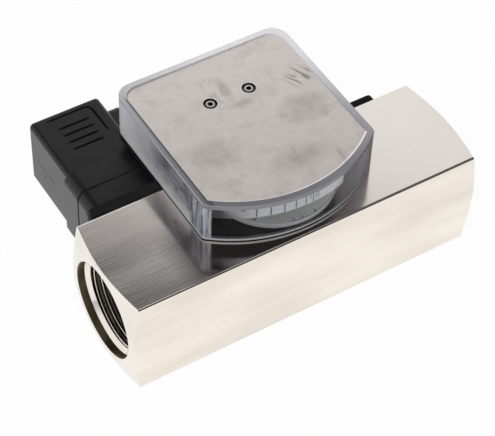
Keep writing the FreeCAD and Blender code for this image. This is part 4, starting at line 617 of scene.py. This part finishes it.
# %% Clear plastic: zones
COVER = {
    "top": [("up_tilt", above, FACES_UP)],
    "window": [("beside", fall, 29.9, 30.3), ("y", fall, -2.0, -1.2), ("z", rise, 40.9, 41.2),
               ("z", fall, 54.7, 54.9)],
    "corner": [("beside", rise, 29.9, 30.3), ("y", fall, 2.2, 2.8), ("z", fall, 54.7, 54.9)],
    "brow": [("z", above, 54.8), ("back_tilt", below, -0.3)],
    "edge": [("z", above, 55.9), ("up_tilt", below, FACES_UP), ("back_tilt", above, -0.3)],
    "recess": [("z", above, 55.02), ("beside", below, 30.5), ("y", below, 51.3), ("from_head", below, 47.3),
               ("up_tilt", below, FACES_UP)],
    # a painted shade line beside the plate's left edge
    "groove": [("x", rise, -30.90, -30.65), ("x", below, -29.0), ("up_tilt", above, FACES_UP),
               ("y", fall, 46.0, 48.0)],
    "right_half": [("x", rise, -5.0, 5.0)],
    "right_wall_shade": [("x", rise, 30.0, 30.2), ("x", fall, 30.7, 31.0), ("z", below, 54.0)],
    "painted_light_back": [("y", rise, 18.0, 44.0)],
    "low": [("z", fall, 41.5, 47.0)],
    "foot": [("z", fall, 41.25, 41.40)],
    "sole": [("z", fall, 40.38, 40.48)],
    "ceiling_shade": [("up_tilt", below, FACES_DOWN), ("z", above, 50.0)],
    "screwed": [("from_screws", fall, 2.5, 2.6)],
}
GAP_SHADE_WEIGHT = 0.75

tree, shader = new_finish("clear_plastic", IOR=1.49)
place, normal = split(tree, in_mm(tree)), facing(tree)
at = zones(tree, {
    "x": place["X"], "y": place["Y"], "z": place["Z"], "beside": calculate(tree, "ABSOLUTE", place["X"]),
    "from_head": away_from_axis(tree, "Z", HEAD_CENTRE), "from_screws": from_screws(tree),
    "up_tilt": normal["Z"], "back_tilt": normal["Y"],
}, COVER)
at["rim"] = calculate(tree, "MAXIMUM", at["top"], at["brow"])
at["groove"] = product(tree, at["groove"], GAP_SHADE_WEIGHT)
at["shut"] = calculate(tree, "MAXIMUM", at["ceiling_shade"], at["screwed"])
at["blocked"] = calculate(tree, "MAXIMUM", at["shut"], at["recess"])
print("clear_plastic:", len(at), "zones")

# %% Clear plastic: colours, with painted light and shade
MILKY = [(0.35, (0.22, 0.22, 0.24)), (0.65, (0.50, 0.50, 0.55))]
# A painted gradient of light over the rim and its recess: dark at the front left, bright at the back right
RIM_LIGHT = [(0.0, (0.15, 0.15, 0.165)), (0.36, (0.24, 0.24, 0.26)), (0.655, (0.45, 0.45, 0.48)),
       (1.0, (0.95, 0.95, 0.97))]
RIM_SLANT, RIM_ENDS = 0.6, (-29.0, 55.0)

haze = clouds(tree, in_mm(tree, (1, 0.7, 1)), 0.17, 4.0)
slanting = calculate(tree, "MULTIPLY_ADD", place["X"], RIM_SLANT, place["Y"])
painted_rim_light = ramp(tree, rise(tree, slanting, *RIM_ENDS), RIM_LIGHT, "LINEAR")
corner_tone = blend(tree, at["right_half"], (0.84, 0.86, 0.94), (0.72, 0.72, 0.78))
# Painted light: walls lighter at the back and the bottom, the rim's gradient, the top edge line and the foot. Painted
# shade: the rim's front face, the line by the plate, the right wall and the roof's underside.
COLOURS = [("painted_light_back", (0.95, 0.95, 1.0)), ("low", (1.0, 1.0, 1.0)), ("rim", painted_rim_light), ("brow", (0.29, 0.29, 0.31)),
           ("groove", (0.06, 0.06, 0.075)), ("edge", (0.54, 0.54, 0.58)), ("corner", corner_tone),
           ("window", (0.95, 0.955, 0.98)), ("recess", painted_rim_light), ("right_wall_shade", (0.36, 0.34, 0.33)),
           ("foot", (0.60, 0.60, 0.64)), ("sole", 0.01), ("shut", 0.015)]
tone = ramp(tree, haze, MILKY)
for name, colour in COLOURS:
    tone = blend(tree, at[name], tone, colour)
paint(tree, shader, "Base Color", tone)
print("clear_plastic:", len(COLOURS), "colours")

# %% Clear plastic: clearness and polish
streaks = clouds(tree, in_mm(tree, (1, 1, 0.06)), 0.9, 3.0, 0.6)
streaky = spread(tree, streaks, 0.50, 0.90, 0.40, 0.60)
corner_part = blend(tree, at["right_half"], streaky, product(tree, streaky, 0.5))
window_part = spread(tree, place["X"], 1.0, 0.80, 10.0, 24.0)
CLEARNESS = [("corner", corner_part), ("window", window_part), ("right_wall_shade", 0.30), ("foot", 0.15), ("sole", 0.0),
             ("blocked", 0.0)]
clearness = blend(tree, at["rim"], 0.46, 0.25)
for name, part in CLEARNESS:
    clearness = blend(tree, at[name], clearness, part)
paint(tree, shader, "Transmission Weight", clearness)
frosted = blend(tree, at["corner"], spread(tree, haze, 0.14, 0.26), 0.09)
paint(tree, shader, "Roughness", blend(tree, at["window"], frosted, 0.02))
print("clear_plastic:", len(tree.nodes), "nodes")

# %% [markdown]
# ### Finishes onto the solids
#
# On the real meter every piece has one material, and the record names it for every solid. They could be set one by
# one. Going through the record's list keeps the two in step when a piece is added.

# %% Give the solids their finishes
for entry in frame["record"]["subparts"]:
    for holder in frame["nodes"][entry["node"]].material_slots:
        holder.material = FINISHES[entry["material_slot"]]

# %% [markdown]
# ## Drawn pieces
#
# Each new piece is a grid of points: one formula turns two running numbers into a place. Blender's Screw
# modifier could make a thread too, but with the formula at hand the ends can fade out as a real tap leaves them.

# %% Helpers for drawn pieces
def grid_faces(rows, columns, close_rows=False, close_columns=False):
    """Quads between neighbours on a grid of rows and columns, joined round where a direction is closed."""
    i, j = np.meshgrid(np.arange(rows if close_rows else rows - 1),
                       np.arange(columns if close_columns else columns - 1), indexing="ij")
    i, j = i.ravel(), j.ravel()
    up, along = (i + 1) % rows, (j + 1) % columns
    return np.column_stack([i * columns + j, up * columns + j, up * columns + along, i * columns + along])


def tube_faces(rows, columns):
    """Quads of a grid whose columns close round, and one face over each end."""
    last = (rows - 1) * columns
    ends = [list(range(columns)), list(range(last + columns - 1, last - 1, -1))]
    return grid_faces(rows, columns, close_columns=True).tolist() + ends


def make_piece(name, points_mm, faces, slot, body="meter", smooth=True):
    """One object from points in millimetres and its faces, with the finish of a slot, riding on a body if one is
    named."""
    mesh = bpy.data.meshes.new(name)
    mesh.from_pydata((np.asarray(points_mm).reshape(-1, 3) * MM).tolist(), [], [list(map(int, f)) for f in faces])
    mesh.polygons.foreach_set("use_smooth", np.full(len(mesh.polygons), smooth))
    mesh.validate()
    mesh.update()
    piece = bpy.data.objects.new(name, mesh)
    bpy.context.scene.collection.objects.link(piece)
    mesh.materials.append(FINISHES[slot])
    if body:
        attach(piece, body)
    print(name, len(mesh.polygons), "faces")
    return piece


# %% [markdown]
# ### Pipe threads
#
# Each end of the bar has a one inch pipe thread: 2.309 mm from crest to crest, flanks at 55 degrees. The solid
# has a plain wall where the thread's root is. The ridge is a small trapezium carried along a helix, and it sinks
# into the wall at both ends. A bright bevel leads into it, left by the countersink.

# %% Threads
PITCH = 2.309
ROOT, CREST = 16.64, 15.20
HALF_FOOT, HALF_CREST = 0.95, 0.30
THREAD_START, THREAD_STOP = 62.6, 43.4
ENDS = (("inlet", -1), ("outlet", 1))


def thread_ridge(first, steps_per_turn=96):
    """A trapezium carried along a helix: its place along X grows with the angle, and its height fades at both ends.
    Going once round the section, the four corners are root, crest, crest and root, and the root is a little
    inside the wall."""
    turns = (THREAD_START - THREAD_STOP) / PITCH
    angle = np.linspace(0, 2 * np.pi * turns, int(turns * steps_per_turn))[:, None]
    fade = np.clip(np.minimum(angle, angle[-1] - angle) / (np.pi * 0.6), 0.02, 1)
    across = np.array([-HALF_FOOT, -HALF_CREST, HALF_CREST, HALF_FOOT]) * fade
    radius = ROOT - (ROOT - CREST) * np.array([0.0, 1.0, 1.0, 0.0]) * fade
    along = first + angle / (2 * np.pi) * PITCH + across
    points = np.stack([along, radius * np.cos(angle), BAR_MIDDLE + radius * np.sin(angle)], -1)
    return points, [face[::-1] for face in tube_faces(len(angle), 4)]


for label, sign in ENDS:
    first = THREAD_STOP if sign > 0 else -THREAD_START
    make_piece(f"{label}_thread", *thread_ridge(first), "nickel_plate")

# %% Lead-in bevels
def turned_ring(corners, steps=160):
    """A closed section of (place along X, radius) corners carried once round the bore."""
    angle = np.linspace(0, 2 * np.pi, steps, endpoint=False)[:, None]
    along, radius = np.asarray(corners, float).T
    points = np.stack([along + 0 * angle, radius * np.cos(angle), BAR_MIDDLE + radius * np.sin(angle)], -1)
    return points, grid_faces(steps, len(along), True, True)


BEVEL = np.array([(63.34, 16.94), (63.32, 16.90), (61.95, 15.50), (61.80, 15.50),
                  (61.40, 16.60), (61.40, 16.66), (63.02, 16.66), (63.02, 16.94)])

for label, sign in ENDS:
    points, faces = turned_ring(BEVEL[::-sign] * (sign, 1))
    make_piece(f"{label}_bevel", points, faces[:, ::-1], "nickel_plate", smooth=False)

# %% [markdown]
# ### Return spring
#
# The spring sits between the piston's clip and the spider, and it is squeezed when the piston moves. Here it is drawn
# again as a round wire between the two ends of the solid spring, which is hidden. Its end coils lie closer together,
# as in a spring with closed ends.

# %% Return spring
SPRING_RADIUS, SPRING_WIRE, SPRING_TURNS = 8.0, 0.65, 6
CLOSED_ENDS = 0.5


def coil_spring(start, end, steps_per_turn=40, steps_round=12):
    """A small circle carried along a helix. The place along X grows with the turn, less a sine of it, so that the
    coils are close at both ends and wide in the middle."""
    turn = np.linspace(0, 1, SPRING_TURNS * steps_per_turn + 1)[:, None]
    along = turn - CLOSED_ENDS * np.sin(2 * np.pi * turn) / (2 * np.pi)
    middle = start + SPRING_WIRE + (end - start - 2 * SPRING_WIRE) * along
    angle = 2 * np.pi * SPRING_TURNS * turn
    around = np.linspace(0, 2 * np.pi, steps_round, endpoint=False)
    radius = SPRING_RADIUS + SPRING_WIRE * np.cos(around)
    points = np.stack([middle + SPRING_WIRE * np.sin(around), radius * np.cos(angle),
                       BAR_MIDDLE + radius * np.sin(angle)], -1)
    return points, tube_faces(len(turn), steps_round)


moving_end, resting_end = (corner[0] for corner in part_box("piston_spring"))
spring = make_piece("return_spring", *coil_spring(moving_end / MM, resting_end / MM), "spring_steel", body=None)
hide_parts("piston_spring")
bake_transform(spring)
print("spring from", round(moving_end / MM, 2), "to", round(resting_end / MM, 2), "mm")

# %% [markdown]
# ### Marks on the scale
#
# The scale is a white strip bent to the window's curve. Its marks are printed lines that crowd together to the
# right. They are drawn as very thin bent plates just in front of the strip, so that they ride with it.

# %% Scale marks
STRIP_RADIUS = 47.2
MARKS_TOP = 53.75
MARKS = [(-21.1, 0.48, 50.1), (-15.5, 0.46, 50.1), (-10.1, 0.46, 50.1), (-5.4, 0.42, 50.1), (-1.2, 0.40, 50.1),
         (0.8, 0.26, 51.6), (2.1, 0.34, 50.1), (3.5, 0.28, 51.2), (4.5, 0.26, 51.2), (-26.2, 1.2, 53.2)]


def bent_plates(marks, radius, top, thickness=0.04):
    """Thin boxes bent to a circle about the head's centre: angle and height give the place, and the radius two
    skins. Each box has its own eight corners."""
    angle, width, low = np.array(marks, float).T
    half = np.degrees(width / 2 / radius)
    turns = np.radians(np.stack([angle - half, angle + half], -1))
    corner = np.array([(0, 0, 0), (1, 0, 0), (1, 1, 0), (0, 1, 0), (0, 0, 1), (1, 0, 1), (1, 1, 1), (0, 1, 1)])
    turn_at = turns[:, corner[:, 0]]
    level = np.where(corner[:, 1] == 0, low[:, None], top)
    out = radius + thickness * corner[:, 2]
    points = np.stack([out * np.sin(turn_at), HEAD_CENTRE[1] - out * np.cos(turn_at), level], -1)
    box = np.array([(0, 3, 2, 1), (4, 5, 6, 7), (0, 1, 5, 4), (1, 2, 6, 5), (2, 3, 7, 6), (3, 0, 4, 7)])
    return points, (box[None] + 8 * np.arange(len(marks))[:, None, None]).reshape(-1, 4)


points, faces = bent_plates(MARKS, STRIP_RADIUS, MARKS_TOP)
make_piece("scale_marks", points, faces, "pointer_paint", smooth=False)

# %% [markdown]
# ### Lines on the plug and the disc
#
# The plug's hood has a fine line round the field where a maker would put a name, and its left side shows a mould
# line and the dot where the plastic was let in. The field itself gets four plain bars. Near its front rim the disc
# carries three dark ticks. All of them are flat beads: an oval carried along a path, half sunk into the surface.
# A bump in the finish could do the same, but beads also show from the side.

# %% Beads
def rounded_path(first, corner, last, radius):
    """Two straight runs joined by a curve that is a quadratic blend of its start, the corner and its end."""
    first, corner, last = (np.asarray(p, float) for p in (first, corner, last))
    start = corner + (first - corner) / np.linalg.norm(first - corner) * radius
    stop = corner + (last - corner) / np.linalg.norm(last - corner) * radius
    t = np.linspace(0, 1, 13)[:, None]
    bend = (1 - t) ** 2 * start + 2 * t * (1 - t) * corner + t ** 2 * stop
    return np.vstack([np.linspace(first, start, 9)[:-1], bend, np.linspace(stop, last, 9)[1:]])


def bead(path, lift, half_width, half_height, steps=12):
    """An oval carried along a path: its wide axis lies across the path and its low axis along the lift. The two
    end ovals are drawn in, so that the ends look round."""
    path, lift = np.asarray(path, float), np.asarray(lift, float)
    ahead = np.gradient(path, axis=0)
    ahead /= np.linalg.norm(ahead, axis=1, keepdims=True)
    turn = np.linspace(0, 2 * np.pi, steps, endpoint=False)[None, :, None]
    oval = half_width * np.cos(turn) * np.cross(ahead, lift)[:, None] + half_height * np.sin(turn) * lift
    fade = np.ones((len(path), 1, 1))
    fade[[0, -1]] = 0.35
    return (path[:, None] + oval * fade).reshape(-1, 3), tube_faces(len(path), steps)


def together(parts):
    """Several surfaces as one piece: the numbers in the faces move on by the points that came before."""
    starts = np.cumsum([0] + [len(points) for points, _ in parts])
    faces = [[int(corner) + int(start) for corner in face]
             for (_, shape), start in zip(parts, starts) for face in shape]
    return np.vstack([points for points, _ in parts]), faces


# %% Lines and marks on the hood
UP, LEFT = (0, 0, 1), (-1, 0, 0)
HOOD_TOP, HOOD_LEFT = 33.3, -53.7
BAR_ROWS, BAR_ENDS = (66, 62.5, 59, 55.5), (-46.4, -34.4)
LINE_CORNERS, LINE_BEND = [(-48.2, 71.1, HOOD_TOP), (-31.8, 71.2, HOOD_TOP), (-31.6, 57.8, HOOD_TOP)], 2.6

frame_line = bead(rounded_path(*LINE_CORNERS, LINE_BEND), UP, 0.42, 0.06)
bars = [bead(np.linspace((BAR_ENDS[0], y, HOOD_TOP), (BAR_ENDS[1], y, HOOD_TOP), 9), UP, 0.50, 0.06)
        for y in BAR_ROWS]
make_piece("hood_lines", *together([frame_line] + bars), "pointer_paint")
mould_line = bead(np.linspace((HOOD_LEFT, 69.4, 19.6), (HOOD_LEFT, 54.7, 20.0), 9), LEFT, 0.10, 0.03)
gate = bead(np.linspace((HOOD_LEFT, 63.0, 16.1), (HOOD_LEFT, 63.7, 16.1), 5), LEFT, 0.45, 0.04)
make_piece("hood_marks", *together([mould_line, gate]), "pointer_paint")

# %% Ticks on the disc
DISC_TOP = 42.8
TICKS, TICK_ENDS = (-11.6, -3.3, 11.7), (19.2, 20.5)


def on_disc(radius, degrees):
    """A place on the disc's top: so far from its middle, at an angle from the front."""
    angle = math.radians(degrees)
    return (radius * math.sin(angle), DISC_MIDDLE - radius * math.cos(angle), DISC_TOP)


ticks = [bead(np.linspace(*[on_disc(radius, turn) for radius in TICK_ENDS], 5), UP, 0.55, 0.05) for turn in TICKS]
make_piece("disc_ticks", *together(ticks), "pointer_paint", body="indicator")
